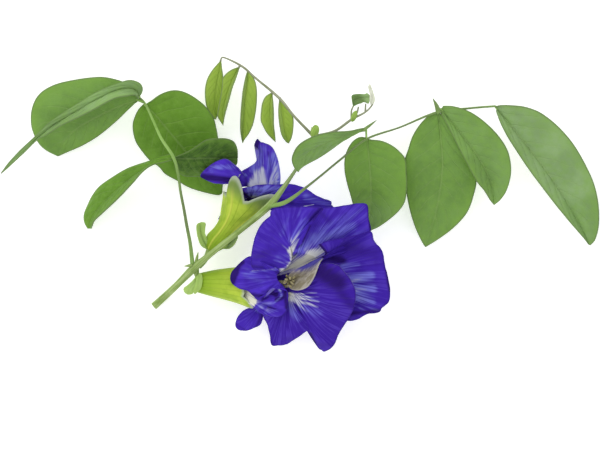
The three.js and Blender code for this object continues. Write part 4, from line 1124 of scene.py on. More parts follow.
def petal_surface(claw, outline, hub=(), first=(), claw_width=2.6, bulge=0.8, ruffle=0, white=(), blue=(),
                  shade_marks=(), tone=0.3, seed=0, crease=0.22, crumple=1.0, claw_tint=(0, 0, 0.6)):
    """One petal: a narrow claw, and a blade that spreads from it to the outline with radial creases. Its marks
    are white, blue and painted shade, and the claw tint is added along the claw; by default that is painted
    shade, strongest where the claw starts inside the calyx.
    """
    points = claw_points(*claw)
    route, edge = through(points), through(outline)
    sideways = (Vector(outline[-1]) - Vector(outline[0])).normalized()
    if hub:
        start = through(hub)
    else:
        def start(u):
            return points[-1] + sideways * ((u - 0.5) * claw_width)
    face = sideways.cross((edge(0.5) - start(0.5)).normalized()).normalized()
    face *= 1 if face.z > 0 else -1
    span = length_of(edge, 60)
    side_edge = through([start(0), *first, outline[0]]) if first else None

    def tint(spot):
        brushes = ((white, 0.5), (blue, 0.3), (shade_marks, 0))
        return Vector([stroke(marks, spot.x, spot.y, fade) for marks, fade in brushes])

    def surface(u, v):
        across = u * span + 40 * seed
        if v < CLAW_SHARE:
            t = v / CLAW_SHARE
            tangent = tangent_of(route, t)
            flat = (sideways - tangent * sideways.dot(tangent)).normalized()
            spot = route(t) + flat * ((u - 0.5) * mix(CLAW_ROOT_WIDTH, claw_width, t))
            spot = spot.lerp(start(u), smooth(0.4, 1, t))
            return spot, Vector((across, t - 1, tone)), tint(spot) + Vector(claw_tint) * smooth(1, 0.6, t)
        r = (v - CLAW_SHARE) / (1 - CLAW_SHARE)
        spot = start(u).lerp(edge(u), r)
        if side_edge:
            spot += (side_edge(r) - start(0).lerp(edge(0), r)) * smooth(0.2, 0, u)
        marks = tint(spot)
        # Folds, crinkles and the bays of the rim come from smooth noise across the blade.
        fold = noise.noise(Vector((u * span / FOLD_WIDTH, r * 0.8, seed * 3.7)))
        fine = noise.noise(Vector((u * span / CRINKLE_WIDTH, r * 1.5, seed * 1.9)))
        bay = noise.noise(Vector((u * span / BAY_WIDTH, 0.4, seed * 5.1)))
        lift = bulge * math.sin(math.pi * r) + ruffle * r * r * math.sin(5 * math.pi * u)
        lift += crumple * crease * smooth(0, 0.35, r) * (2.4 * fold + 0.9 * fine)
        lift += 0.9 * crease * smooth(0.72, 1, r) * (1.6 * bay - 0.8)
        return spot + face * lift, Vector((across, r, tone)), marks

    return surface


def cup_surface(axis, radii, lobes, collar, flat=1.0, bend=(0, 0, 0), ridge=1.0, age=1.0):
    """A calyx from its base to its lobes, ridged along the middle of each lobe. A lobe is (degrees, length,
    half its width in degrees, lean to the side), flat squeezes the cup from above, bend moves its middle,
    and age is how grey its tips are."""
    base, mouth = map(Vector, axis)
    tangent = mouth - base
    tube_length = tangent.length + collar
    tangent.normalize()
    side, up = across_axes(tangent)
    radius_at = eased(radii)
    longest = max(length for _, length, *_ in lobes)

    def surface(u, v):
        angle = math.tau * (1 - u)
        rim, tooth, leant = 0, 0, 0
        for degrees, length, half, lean in lobes:
            away = abs((math.degrees(angle) - degrees + 180) % 360 - 180) / half
            shape = math.cos(math.pi / 2 * min(1, away)) ** 0.8
            rim, tooth, leant = max(rim, length * shape), max(tooth, shape), leant + lean * shape
        height = v * tube_length + rim * max(0, v - 0.5) * 2
        share = min(1, height / (tube_length + longest))
        rib = math.exp(-((1 - tooth) / 0.03)) + 0.8 * math.exp(-tooth / 0.08) * (1 - smooth(0.5, 0.9, v))
        rib *= ridge
        radius = radius_at(share) * smooth(-0.04, 0.02, v) + CALYX_RIB * rib - 0.05
        spot = base + tangent * height + Vector(bend) * math.sin(math.pi * share)
        spot += side * (radius * math.cos(angle) + leant * smooth(0.6, 1, v))
        spot += up * (radius * flat * math.sin(angle))
        return spot, Vector((u, v, tooth)), Vector((height, share * age, rib))

    return surface


def finished(bm, name, node, materials, thickness=0.0, offset=0.0, back=0):
    """Turns a bmesh into a piece that rides on the shoot and stands for its CAD node."""
    if not thickness:
        bmesh.ops.recalc_face_normals(bm, faces=bm.faces)
    mesh = bpy.data.meshes.new(name)
    bm.to_mesh(mesh)
    bm.free()
    for material in materials:
        mesh.materials.append(material)
    piece = bpy.data.objects.new(name, mesh)
    bpy.context.scene.collection.objects.link(piece)
    if thickness:
        wall = piece.modifiers.new("Thickness", "SOLIDIFY")
        wall.thickness = thickness
        wall.offset = offset
        wall.use_quality_normals = True
        wall.material_offset = back
    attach(piece, "root")
    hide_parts(node)


# Materials


def add(tree, kind, inputs=(), output=0, **settings):
    """Adds a node with its settings and with each input set to a value or linked from a socket, and gives
    one of its outputs. A colour is given without its alpha."""
    node = tree.nodes.new("ShaderNode" + kind)
    for name, value in settings.items():
        setattr(node, name, value)
    for key, value in inputs.items() if isinstance(inputs, dict) else enumerate(inputs):
        socket = node.inputs[key]
        if isinstance(value, bpy.types.NodeSocket):
            tree.links.new(value, socket)
        else:
            socket.default_value = (*value, 1) if socket.type == "RGBA" else value
    return node.outputs[output]


def coat(tree, under, over, value, low=0.0, high=1.0, most=1.0, least=0.0, curve="SMOOTHSTEP"):
    """Lays one colour over another where a value passes from low to high, and gives the mixed colour."""
    share = add(tree, "MapRange", (value, low, high, least, most), interpolation_type=curve)
    return add(tree, "Mix", {0: share, 6: under, 7: over}, output=2, data_type="RGBA")


def speckle(tree, vector, size, detail=2.0, stretch=(1, 1, 1)):
    """Noise with features of a real size in millimetres, on a vector that is in millimetres."""
    scaled = add(tree, "VectorMath", (vector, [x / size for x in stretch]), operation="MULTIPLY")
    return add(tree, "TexNoise", {"Vector": scaled, "Scale": 1.0, "Detail": detail})


def new_material(name, roughness, specular, sheen=0.0, sheen_tint=(1, 1, 1)):
    """A new material with its tree and its shader, which has the IOR of moist plant tissue."""
    material = bpy.data.materials.new(name)
    material.use_nodes = True
    tree = material.node_tree
    shader = tree.nodes["Principled BSDF"]
    finish = {
        "Roughness": roughness, "Specular IOR Level": specular, "IOR": 1.42, "Sheen Weight": sheen,
        "Sheen Roughness": 0.45, "Sheen Tint": (*sheen_tint, 1),
    }
    for socket, value in finish.items():
        shader.inputs[socket].default_value = value
    return material, tree, shader


def millimetres(tree):
    """Object coordinates in millimetres."""
    place = add(tree, "TexCoord", output="Object")
    return add(tree, "VectorMath", (place, (1 / MM, 1 / MM, 1 / MM)), operation="MULTIPLY")


def attribute(tree, name):
    """One of a piece's attributes, as a vector and as its three parts."""
    vector = add(tree, "Attribute", output="Vector", attribute_name=name)
    return vector, *add(tree, "SeparateXYZ", (vector,)).node.outputs


def colour_and_bump(tree, shader, colour, height, distance):
    """Links a colour to the shader, and a height in parts of a distance in millimetres."""
    tree.links.new(colour, shader.inputs["Base Color"])
    bump = add(tree, "Bump", {"Height": height, "Distance": distance * MM})
    tree.links.new(bump, shader.inputs["Normal"])


def leaf_face(name, green, deep, rim, vein, roughness, raised=False, vein_strength=0.13, grey=None,
              margin=None):
    """A leaflet's skin: a waxy upper face with sunken veins, or a matt underside with raised ones.
    Its tone runs from deep, at -1, over green to grey, at 1."""
    sheen = 0.05 if raised else 0.0
    material, tree, shader = new_material(name, roughness, 0.1, sheen, linear("dfe8c8"))
    _, s, t, _ = attribute(tree, "blade")
    flat, reach, _, tone = attribute(tree, "in_mm")
    place = millimetres(tree)
    away = add(tree, "Math", (s,), operation="ABSOLUTE")
    from_rib = add(tree, "Math", (reach,), operation="ABSOLUTE")

    # The side veins run as in the mesh, and wander a little.
    climb = add(tree, "Math", (away, VEIN_BEND, VEIN_CLIMB), operation="MULTIPLY_ADD")
    climb = add(tree, "Math", (climb, away), operation="MULTIPLY")
    right = add(tree, "Math", (s, 0.0), operation="LESS_THAN")
    half_step = add(tree, "Math", (right, 0.5), operation="MULTIPLY")
    wander = add(tree, "Math", (speckle(tree, flat, 7.0), 0.5, -0.25), operation="MULTIPLY_ADD")
    phase = add(tree, "Math", (t, float(VEINS), half_step), operation="MULTIPLY_ADD")
    phase = add(tree, "Math", (phase, climb), operation="SUBTRACT")
    phase = add(tree, "Math", (phase, wander), operation="ADD")
    from_vein = add(tree, "Math", (phase, 0.5), operation="PINGPONG")
    inside = add(tree, "MapRange", (away, 0.98, 0.55), interpolation_type="SMOOTHSTEP")
    before_tip = add(tree, "MapRange", (t, 0.99, 0.8), interpolation_type="SMOOTHSTEP")
    fade = add(tree, "Math", (inside, before_tip), operation="MULTIPLY")
    veins = add(tree, "MapRange", (from_vein, 0.085, 0.0), interpolation_type="SMOOTHSTEP")
    veins = add(tree, "Math", (veins, fade), operation="MULTIPLY")
    rib = add(tree, "MapRange", (from_rib, 0.55, 0.12), interpolation_type="SMOOTHSTEP")
    thinner = add(tree, "MapRange", (t, 1.0, 0.4, 0.35, 1.0), interpolation_type="SMOOTHSTEP")
    rib = add(tree, "Math", (rib, thinner), operation="MULTIPLY")
    # The net between the side veins has meshes of about 0.9 mm, drawn 1.3 mm wide so that it shows.
    cell = {"Vector": flat, "Scale": 1 / 1.3}
    from_edge = add(tree, "TexVoronoi", cell, "Distance", feature="DISTANCE_TO_EDGE")
    net = add(tree, "MapRange", (from_edge, 0.09, 0.0), interpolation_type="SMOOTHSTEP")

    mottle = speckle(tree, place, 2.2, 4.0)
    colour = coat(tree, green, deep, tone, high=-1.0, curve="LINEAR")
    if grey:
        colour = coat(tree, colour, grey, tone, curve="LINEAR")
    colour = coat(tree, colour, deep, speckle(tree, place, 11.0, 3.0), 0.38, 0.62, 0.25)
    colour = coat(tree, colour, rim, mottle, 0.35, 0.7, 0.3)
    colour = coat(tree, colour, rim, away, 0.62, 1.0, 0.35)
    if margin:
        # The margin is a firm grey-green line about 0.3 mm wide.
        inset = add(tree, "Math", (1.0, away), operation="DIVIDE")
        inset = add(tree, "Math", (inset, 1.0), operation="SUBTRACT")
        inset = add(tree, "Math", (inset, from_rib), operation="MULTIPLY")
        colour = coat(tree, colour, margin, inset, 0.55, 0.12, 0.65)
    colour = coat(tree, colour, vein, net, most=0.06, curve="LINEAR")
    colour = coat(tree, colour, vein, veins, most=vein_strength, curve="LINEAR")
    colour = coat(tree, colour, vein, rib, most=1.6 * vein_strength, curve="LINEAR")

    height = add(tree, "Math", (rib, 1.6, veins), operation="MULTIPLY_ADD")
    height = add(tree, "Math", (net, 0.35, height), operation="MULTIPLY_ADD")
    height = add(tree, "Math", (mottle, 0.3, height), operation="MULTIPLY_ADD")
    if not raised:
        height = add(tree, "Math", (height, -1.0), operation="MULTIPLY")
    colour_and_bump(tree, shader, colour, height, 0.09)
    return material


def green_stalk(name, green, light, shade, grey=None):
    """A green stem: fine ridges along it, paler on their crests, under a thin coat of short hairs.
    Where its tone nears 1 it is grey."""
    material, tree, shader = new_material(name, 0.55, 0.18, 0.08, linear("e4edcf"))
    flat, _, _, tone = attribute(tree, "stalk")
    place = millimetres(tree)
    # Ridges about 0.35 mm apart round a stem of about 6 mm girth, long along the stem
    ridges = speckle(tree, flat, 1.0, 2.0, (18, 0.12, 0))
    hairs = speckle(tree, place, 0.7, 2.0)
    colour = coat(tree, green, light, ridges, 0.35, 0.65)
    colour = coat(tree, colour, shade, speckle(tree, place, 5.0, 3.0), 0.48, 0.68, 0.55)
    colour = coat(tree, colour, light, hairs, 0.5, 0.75, 0.25)
    if grey:
        colour = coat(tree, colour, grey, tone, high=1.18, curve="LINEAR")
    height = add(tree, "Math", (hairs, 0.4, ridges), operation="MULTIPLY_ADD")
    colour_and_bump(tree, shader, colour, height, 0.12)
    return material


def calyx_wall(name, yellow, green, pale, grey, rim):
    """A calyx: yellow-green and ribbed, thin and pale at the rim of its lobes, greyish at their tips."""
    material, tree, shader = new_material(name, 0.5, 0.15, 0.05, linear("e9f0cc"))
    _, u, v, _ = attribute(tree, "cup")
    flat, _, share, rib = attribute(tree, "in_mm")
    place = millimetres(tree)
    # Twenty fine veins run up the wall, about 1.6 mm apart round its middle.
    lines = add(tree, "Math", (u, 20.0), operation="MULTIPLY")
    lines = add(tree, "Math", (speckle(tree, flat, 3.0), 0.1, lines), operation="MULTIPLY_ADD")
    lines = add(tree, "Math", (lines, 0.5), operation="PINGPONG")
    lines = add(tree, "MapRange", (lines, 0.14, 0.0), interpolation_type="SMOOTHSTEP")
    colour = coat(tree, green, yellow, share, 0.0, 0.6)
    colour = coat(tree, colour, green, speckle(tree, place, 3.5, 3.0), 0.42, 0.66, 0.6)
    colour = coat(tree, colour, green, lines, most=0.35, curve="LINEAR")
    colour = coat(tree, colour, pale, rib, 0.2, 0.95, 0.5)
    colour = coat(tree, colour, grey, share, 0.64, 0.86, 0.9)
    colour = coat(tree, colour, rim, v, 0.93, 1.0, 0.8)
    height = add(tree, "Math", (speckle(tree, place, 0.8), 0.5, lines), operation="MULTIPLY_ADD")
    colour_and_bump(tree, shader, colour, height, 0.08)
    return material


def petal_face(name, violet, deep, painted_shade, light, blue, white, cream, back=False):
    """A petal's skin: velvety violet cells, with streaks that run out from a white throat.
    Its tone runs from violet, at 0, to deep, at 1."""
    material, tree, shader = new_material(name, 0.62, 0.06, 0.05, linear("7f66e0"))
    flat, _, out, tone = attribute(tree, "fan")
    _, pale, flush, shade_marks = attribute(tree, "tint")
    place = millimetres(tree)
    # Streaks run out from the claw, about 0.3 mm wide near it and 0.5 mm at the rim, drawn 0.9 mm there.
    at_claw = speckle(tree, flat, 2.6, 4.0, (1, 2, 0))
    at_rim = speckle(tree, flat, 0.9, 3.0, (1, 1.4, 0))
    outward = add(tree, "MapRange", (out, 0.1, 0.75), interpolation_type="SMOOTHSTEP")
    streaks = add(tree, "Mix", {0: outward, 2: at_claw, 3: at_rim})
    streaks = add(tree, "MapRange", (streaks, 0.36, 0.64), interpolation_type="SMOOTHSTEP")
    broad = speckle(tree, flat, 3.2, 2.0, (1, 2.4, 0))
    colour = coat(tree, violet, deep, tone, curve="LINEAR")
    colour = coat(tree, colour, deep, broad, 0.42, 0.7, 0.5)
    colour = coat(tree, colour, light, streaks, 0.3, 1.0, 0.28)
    colour = coat(tree, colour, deep, speckle(tree, place, 4.0, 3.0), 0.45, 0.7, 0.35)

    # The brush strokes of the blade, broken up along its streaks. The dark strokes and the thin dark line along
    # the rim are painted shade.
    shaded = add(tree, "Math", (shade_marks, -0.125), operation="ADD")
    shaded = add(tree, "Math", (streaks, 0.25, shaded), operation="MULTIPLY_ADD")
    colour = coat(tree, colour, painted_shade, shaded, 0.05, 1.0, 0.9)
    colour = coat(tree, colour, painted_shade, out, 0.965, 0.995, 0.35)
    ragged = add(tree, "Math", (streaks, 0.75, 0.45), operation="MULTIPLY_ADD")
    flushed = add(tree, "Math", (flush, ragged), operation="MULTIPLY")
    colour = coat(tree, colour, blue, flushed, 0.15, 1.0, 0.85)
    throat = coat(tree, white, cream, out, 0.25, -0.2)
    whitened = add(tree, "Math", (pale, ragged), operation="MULTIPLY")
    colour = coat(tree, colour, throat, whitened, 0.15, 1.0, 0.95)
    if back:
        colour = coat(tree, colour, throat, out, 1.0, -0.2, 0.5, least=0.12)

    height = add(tree, "Math", (streaks, 0.4), operation="MULTIPLY")
    height = add(tree, "Math", (speckle(tree, place, 0.45, 1.0), 0.35, height), operation="MULTIPLY_ADD")
    height = add(tree, "Math", (broad, 0.8, height), operation="MULTIPLY_ADD")
    colour_and_bump(tree, shader, colour, height, 0.16)
    return material


def keel_skin(name, cream, olive, violet, rim):
    """The keel's skin: cream with olive veins at its end, blue violet along its upper edge."""
    material, tree, shader = new_material(name, 0.5, 0.35, 0.1)
    _, s, t, _ = attribute(tree, "blade")
    flat, *_ = attribute(tree, "in_mm")
    streaks = speckle(tree, flat, 0.8, 3.0, (1, 0.3, 1))
    veined = add(tree, "Math", (t, -0.22, streaks), operation="MULTIPLY_ADD")
    edge = add(tree, "Math", (t, 1.1, -0.25), operation="MULTIPLY_ADD")
    edge = add(tree, "Math", (s, 0.45, edge), operation="MULTIPLY_ADD")
    edge = add(tree, "Math", (streaks, 0.5, edge), operation="MULTIPLY_ADD")
    colour = coat(tree, cream, olive, veined, 0.28, 0.5, 0.8)
    colour = coat(tree, colour, violet, edge, 0.46, 0.86, 0.95)
    colour = coat(tree, colour, rim, s, -0.86, -0.99, 0.7)
    colour_and_bump(tree, shader, colour, streaks, 0.12)
    return material


def pollen_body(name, cream, brown):
    """Anthers and filaments: pale tissue mottled with brown, which is partly the pollen's own colour and partly
    painted shade among the crowded anthers.
    """
    material, tree, shader = new_material(name, 0.7, 0.3, 0.1)
    place = millimetres(tree)
    colour = coat(tree, cream, brown, speckle(tree, place, 1.1, 3.0), 0.4, 0.66)
    colour_and_bump(tree, shader, colour, speckle(tree, place, 0.35, 2.0), 0.08)
    return material


def cut_end(name, pith, ring):
    """The knife cut through the stem: moist pale pith inside a ring of darker tissue."""
    material, tree, shader = new_material(name, 0.4, 0.5)
    place = millimetres(tree)
    colour = coat(tree, pith, ring, speckle(tree, place, 0.5, 3.0), 0.4, 0.65)
    colour_and_bump(tree, shader, colour, speckle(tree, place, 0.25), 0.06)
    return material


# Settings


class PeaShootSizes(bpy.types.PropertyGroup):
    """Sizes of the shoot's finer pieces"""

    leaf_thickness: FloatProperty(
        name="Leaf Thickness", description="Thickness of a leaflet's blade", default=0.00034,
        min=0.0001, max=0.0006, precision=5, unit="LENGTH",
    )
    petal_thickness: FloatProperty(
        name="Petal Thickness", description="Thickness of a petal's blade", default=0.00026,
        min=0.0001, max=0.0006, precision=5, unit="LENGTH",
    )
    calyx_thickness: FloatProperty(
        name="Calyx Wall", description="Thickness of the calyx and its bracts", default=0.00045,
        min=0.0002, max=0.0007, precision=5, unit="LENGTH",
    )
    vein_relief: FloatProperty(
        name="Vein Relief", description="How far a leaf swells between its side veins", default=0.00014,
        min=0.0, max=0.0004, precision=5, unit="LENGTH",
    )
    petal_crease: FloatProperty(
        name="Petal Creases", description="How deep the radial creases of a petal are", default=0.00026,
        min=0.0, max=0.0006, precision=5, unit="LENGTH",
    )


class PeaShootColours(bpy.types.PropertyGroup):
    """Colours of the shoot"""

    leaf: FloatVectorProperty(
        name="Leaf", description="Upper face of a grown leaf", subtype="COLOR", default=linear("65902f"),
        min=0, max=1,
    )
    young_leaf: FloatVectorProperty(
        name="Young Leaf", description="Upper face of a young leaf", subtype="COLOR",
        default=linear("9cba4a"), min=0, max=1,
    )
    stem: FloatVectorProperty(
        name="Stem", description="Stem and leaf stalks", subtype="COLOR", default=linear("7f9a4c"),
        min=0, max=1,
    )
    calyx: FloatVectorProperty(
        name="Calyx", description="Middle of the calyx wall", subtype="COLOR", default=linear("b5cc45"),
        min=0, max=1,
    )
    petal: FloatVectorProperty(
        name="Petal", description="Blade of a petal", subtype="COLOR", default=linear("4f33c2"),
        min=0, max=1,
    )
    throat: FloatVectorProperty(
        name="Throat", description="White streaks at a petal's claw", subtype="COLOR",
        default=linear("c8cbdc"), min=0, max=1,
    )


class PeaShootStage(bpy.types.PropertyGroup):
    """The table, the light and the camera"""

    table_size: FloatProperty(
        name="Table Size", description="Side of the square table top", default=8.0, min=0.5, unit="LENGTH",
    )
    daylight: FloatProperty(
        name="Daylight", description="Strength of the light from all round", default=0.95, min=0.0,
    )
    lamp_power: FloatProperty(
        name="Soft Lamp", description="Power of the soft lamp above the table", default=6.0, min=0.0,
        unit="POWER",
    )
    camera_height: FloatProperty(
        name="Camera Height", description="Height of the camera over the table", default=2.08, min=0.3,
        unit="LENGTH",
    )


def sizes():
    return bpy.context.scene.pea_shoot_sizes


def colours():
    return bpy.context.scene.pea_shoot_colours


def kept(name, maker, *finish, **more):
    """A material that several pieces share, made once. A colour is a hex code or a setting's value."""

    def shown(value):
        return linear(value) if isinstance(value, str) else value

    ready = bpy.data.materials.get(name)
    return ready or maker(name, *map(shown, finish), **{key: shown(value) for key, value in more.items()})


def leaf_materials(young=False):
    """The upper face and the underside of a leaf."""
    if young:
        return [
            kept("Young leaf, upper face", leaf_face, tuple(colours().young_leaf), "7a9c35", "9cb653",
                 "a9bf66", 0.48, vein_strength=0.05, grey="7f9a5c", margin="6f7f5a"),
            kept("Young leaf, underside", leaf_face, "8ea852", "83a04c", "9db562", "b4c883", 0.62,
                 raised=True),
        ]
    return [
        kept("Leaf, upper face", leaf_face, tuple(colours().leaf), "3c5c24", "7ba541", "98b26f", 0.46,
             grey="8ba973", margin="62744c"),
        kept("Leaf, underside", leaf_face, "7f9f5c", "7a9a58", "8aa868", "a3bb84", 0.62, raised=True),
    ]


def stalk_material(part="stem"):
    """The green skin of the stem, the olive one of grown leaves' stalks or the grey one of young stalks."""
    if part == "young":
        return kept("Young stalk", green_stalk, "83886c", "a3a68c", "6c714a")
    if part == "leaf":
        return kept("Leaf stalk", green_stalk, "84ab52", "9abf6a", "759c45", "667450")
    return kept("Green stem", green_stalk, tuple(colours().stem), "a3b877", "6f8a3c", "76895f")


# Pieces


class PEASHOOT_OT_stem(bpy.types.Operator):
    """Makes the stem with its ridges, swollen joints, stipules and cut end"""

    bl_idname = "pea_shoot.stem"
    bl_label = "Stem"

    def execute(self, context):
        bm = bmesh.new()

        def ridged(u, v):
            low, high = (math.exp(-(((v - place) / 0.02) ** 2)) for place in STEM_KNOTS)
            knots = low + 0.7 * high
            ridge = STEM_RIDGE * math.cos(STEM_RIDGES * math.tau * u + 3 * v)
            return ridge + STEM_KNOT * knots * math.sin(3 * math.tau * u)

        tube(bm, STEM_POINTS, STEM_RADII, STEM_GRID, ridged, STEM_TONES)
        first = Vector(STEM_POINTS[0]) * MM
        caps = [f for f in bm.faces if len(f.verts) > 4 and (f.calc_center_median() - first).length < 0.002]
        bmesh.ops.inset_region(bm, faces=caps, thickness=CUT_RING, depth=-CUT_DEPTH)
        for face in caps:
            face.material_index = 1
        for ends in STIPULES:
            tube(bm, ends, STIPULE_RADII, STIPULE_GRID)
        cut = kept("Cut stem end", cut_end, "cfd3a4", "a5ad72")
        finished(bm, "stem", "main_stem", [stalk_material(), cut])
        return {"FINISHED"}


class PEASHOOT_OT_leaves(bpy.types.Operator):
    """Makes the three leaves: thin veined leaflets on their rachis and short stalks"""

    bl_idname = "pea_shoot.leaves"
    bl_label = "Leaves"

    def execute(self, context):
        for node, leaf in LEAVES.items():
            young = node == "young_leaf"
            bm = bmesh.new()
            tube(bm, leaf["rachis"], leaf["radii"], RACHIS_GRID, tones=leaf["tones"])
            # Each leaflet hangs on a short swollen stalk, which turns into the foot of its rib.
            for start, blade in zip(leaf["starts"], leaf["blades"]):
                base, further = Vector(blade["rib"][0]), Vector(blade["rib"][1])
                tube(bm, (start, base, base.lerp(further, 0.08)), leaf["knee"], KNEE_GRID)
            for *ends, width in leaf["spikes"]:
                tube(bm, ends, (width, 0.7 * width, 0.1), SPIKE_GRID, tones=(0.5, 0.9))
            finished(bm, node + "_stalks", node, [stalk_material("young" if young else "leaf")])
            bm = bmesh.new()
            relief = sizes().vein_relief / MM * (YOUNG_RELIEF if young else 1)
            grid = YOUNG_LEAFLET_GRID if young else LEAFLET_GRID
            for seed, blade in enumerate(leaf["blades"], len(node)):
                lay(bm, grid, leaflet_surface(**blade, seed=seed, relief=relief), ("blade", "in_mm"))
            finished(bm, node + "_blades", node, leaf_materials(young), sizes().leaf_thickness, back=1)
        return {"FINISHED"}


class PEASHOOT_OT_tip(bpy.types.Operator):
    """Makes the growing tip with its folded young leaf, its buds and its thread-like end"""

    bl_idname = "pea_shoot.tip"
    bl_label = "Growing Tip"

    def execute(self, context):
        bm = bmesh.new()
        tube(bm, TIP_PATH, TIP_RADII, TIP_GRID)
        for ends in TIP_STALKS:
            tube(bm, ends, TIP_STALK_RADII, TIP_STALK_GRID)
        for seed, bud in enumerate(TIP_BUDS):
            bead(bm, *bud, seed, material=1)
        scales = kept("Bud scales", green_stalk, "8aab48", "a2c062", "76923f")
        finished(bm, "tip_shoot", "shoot_tip", [stalk_material("young"), scales])
        skins = [
            kept("Folded leaflet, upper face", leaf_face, "6d8a50", "5c7a42", "7e9a60", "8ba56c", 0.5,
                 grey="a8c888"),
            kept("Folded leaflet, underside", leaf_face, "8aa56a", "7f9b5f", "97b077", "a8c088", 0.62,
                 raised=True),
            kept("Unfolding leaflet, upper face", leaf_face, "f0f3e2", "dfe4cb", "b9bd9c", "fafbf2", 0.5),
            kept("Unfolding leaflet, underside", leaf_face, "b4b994", "a9ae88", "c2c7a6", "d2d6b8", 0.62,
                 raised=True),
        ]
        bm = bmesh.new()
        for seed, blade in enumerate(TIP_LEAFLETS):
            surface = leaflet_surface(**blade, seed=seed, relief=TIP_RELIEF)
            lay(bm, TIP_LEAFLET_GRID, surface, ("blade", "in_mm"), 2 * seed)
        finished(bm, "tip_leaflets", "shoot_tip", skins, sizes().leaf_thickness, back=1)
        return {"FINISHED"}


class PEASHOOT_OT_calyces(bpy.types.Operator):
    """Makes both calyces with their five lobes, ribs, pedicels and round bracts"""

    bl_idname = "pea_shoot.calyces"
    bl_label = "Calyces"

    def execute(self, context):
        wall = kept("Calyx", calyx_wall, tuple(colours().calyx), "8aac2c", "d3d65c", "6a814a", "b4bbae")
        bract = [
            kept("Bract, outer face", leaf_face, "9cc04e", "8eb244", "b0cc6a", "bcd282", 0.5, grey="aac48c"),
            kept("Bract, inner face", leaf_face, "a5c45c", "9abb54", "b8d07a", "c6da92", 0.6, raised=True),
        ]
        for node, calyx in CALYCES.items():
            bm = bmesh.new()
            lay(bm, CUP_GRID, cup_surface(**calyx["cup"]), ("cup", "in_mm"))
            bmesh.ops.remove_doubles(bm, verts=bm.verts, dist=SAME_PLACE)
            foot = (Vector(calyx["cup"]["axis"][0]) + FROM_MIDDLE) * MM
            base = [e for e in bm.edges if e.is_boundary and (e.verts[0].co - foot).length < FOOT_REACH]
            bmesh.ops.holes_fill(bm, edges=base, sides=0)
            finished(bm, node + "_cup", node, [wall], sizes().calyx_thickness, offset=-1)
            bm = bmesh.new()
            tube(bm, calyx["pedicel"], PEDICEL_RADII, PEDICEL_GRID)
            finished(bm, node + "_pedicel", node, [stalk_material()])
            bm = bmesh.new()
            for seed, blade in enumerate(calyx["bracts"]):
                surface = leaflet_surface(**blade, seed=seed, relief=BRACT_RELIEF)
                lay(bm, BRACT_GRID, surface, ("blade", "in_mm"))
            finished(bm, node + "_bracts", node, bract, sizes().calyx_thickness, back=1)
        return {"FINISHED"}


class PEASHOOT_OT_petals(bpy.types.Operator):
    """Makes the ten petals of the two flowers, creased and ruffled, with streaked throats"""

    bl_idname = "pea_shoot.petals"
    bl_label = "Petals"

    def execute(self, context):
        violet, throat = tuple(colours().petal), tuple(colours().throat)
        skins = [
            kept("Petal, inner face", petal_face, violet, "371a92", "25105c", "6a52d6", "7d7fe0", throat,
                 "e4e4cc"),
            kept("Petal, outer face", petal_face, violet, "3f2296", "2a1462", "7a66cc", "8583d8", throat,
                 "e4e4cc", back=True),
        ]
        crease = sizes().petal_crease / MM
        for seed, (node, petal) in enumerate(PETALS.items()):
            bm = bmesh.new()
            lay(bm, PETAL_GRID, petal_surface(**petal, seed=seed, crease=crease), ("fan", "tint"))
            upward = sum(f.normal.z * f.calc_area() for f in bm.faces) > 0
            pair = skins if upward else skins[::-1]
            finished(bm, node + "_blade", node, pair, sizes().petal_thickness, back=1)
        return {"FINISHED"}


class PEASHOOT_OT_heart(bpy.types.Operator):
    """Makes the folded keel and the stamens in the throat of the front flower"""

    bl_idname = "pea_shoot.heart"
    bl_label = "Keel and Stamens"

    def execute(self, context):
        # The keel's dull grey-cream and olive are partly its own colour and partly painted shade, as it lies
        # deep in the flower.
        keel = kept("Keel", keel_skin, "9c968a", "736b50", "3a318e", "bab5ae")
        pollen = kept("Anthers", pollen_body, "99916a", "544c30")
        bm = bmesh.new()
        lay(bm, KEEL_GRID, leaflet_surface(**KEEL, seed=1, relief=KEEL_RELIEF), ("blade", "in_mm"))
        finished(bm, "keel_blade", "front_keel", [keel], sizes().petal_thickness * KEEL_WALL)
        bm = bmesh.new()
        tube(bm, KEEL_STALK, KEEL_STALK_RADII, KEEL_STALK_GRID)
        finished(bm, "keel_stalk", "front_keel", [pollen])
        bm = bmesh.new()
        tube(bm, STAMEN_TUBE, STAMEN_TUBE_RADII, STAMEN_TUBE_GRID)
        crown = Vector(STAMEN_TUBE[-1])
        for k in range(ANTHERS):
            angle = k * math.tau / ANTHERS
            out = Vector((math.cos(angle), math.sin(angle), 0))
            top = crown + out * (1 + 0.6 * (k % 2)) + UP * (0.5 + 0.5 * (k % 3))
            filament = (crown - UP * 1.6 + out * 0.3, crown - UP * 0.4 + out * 0.55, top)
            tube(bm, filament, FILAMENT_RADII, FILAMENT_GRID)
            bead(bm, top, (out.x, out.y, 0.9), ANTHER_LENGTH, ANTHER_WIDTH, k)
        finished(bm, "stamens", "front_stamens", [pollen])
        return {"FINISHED"}


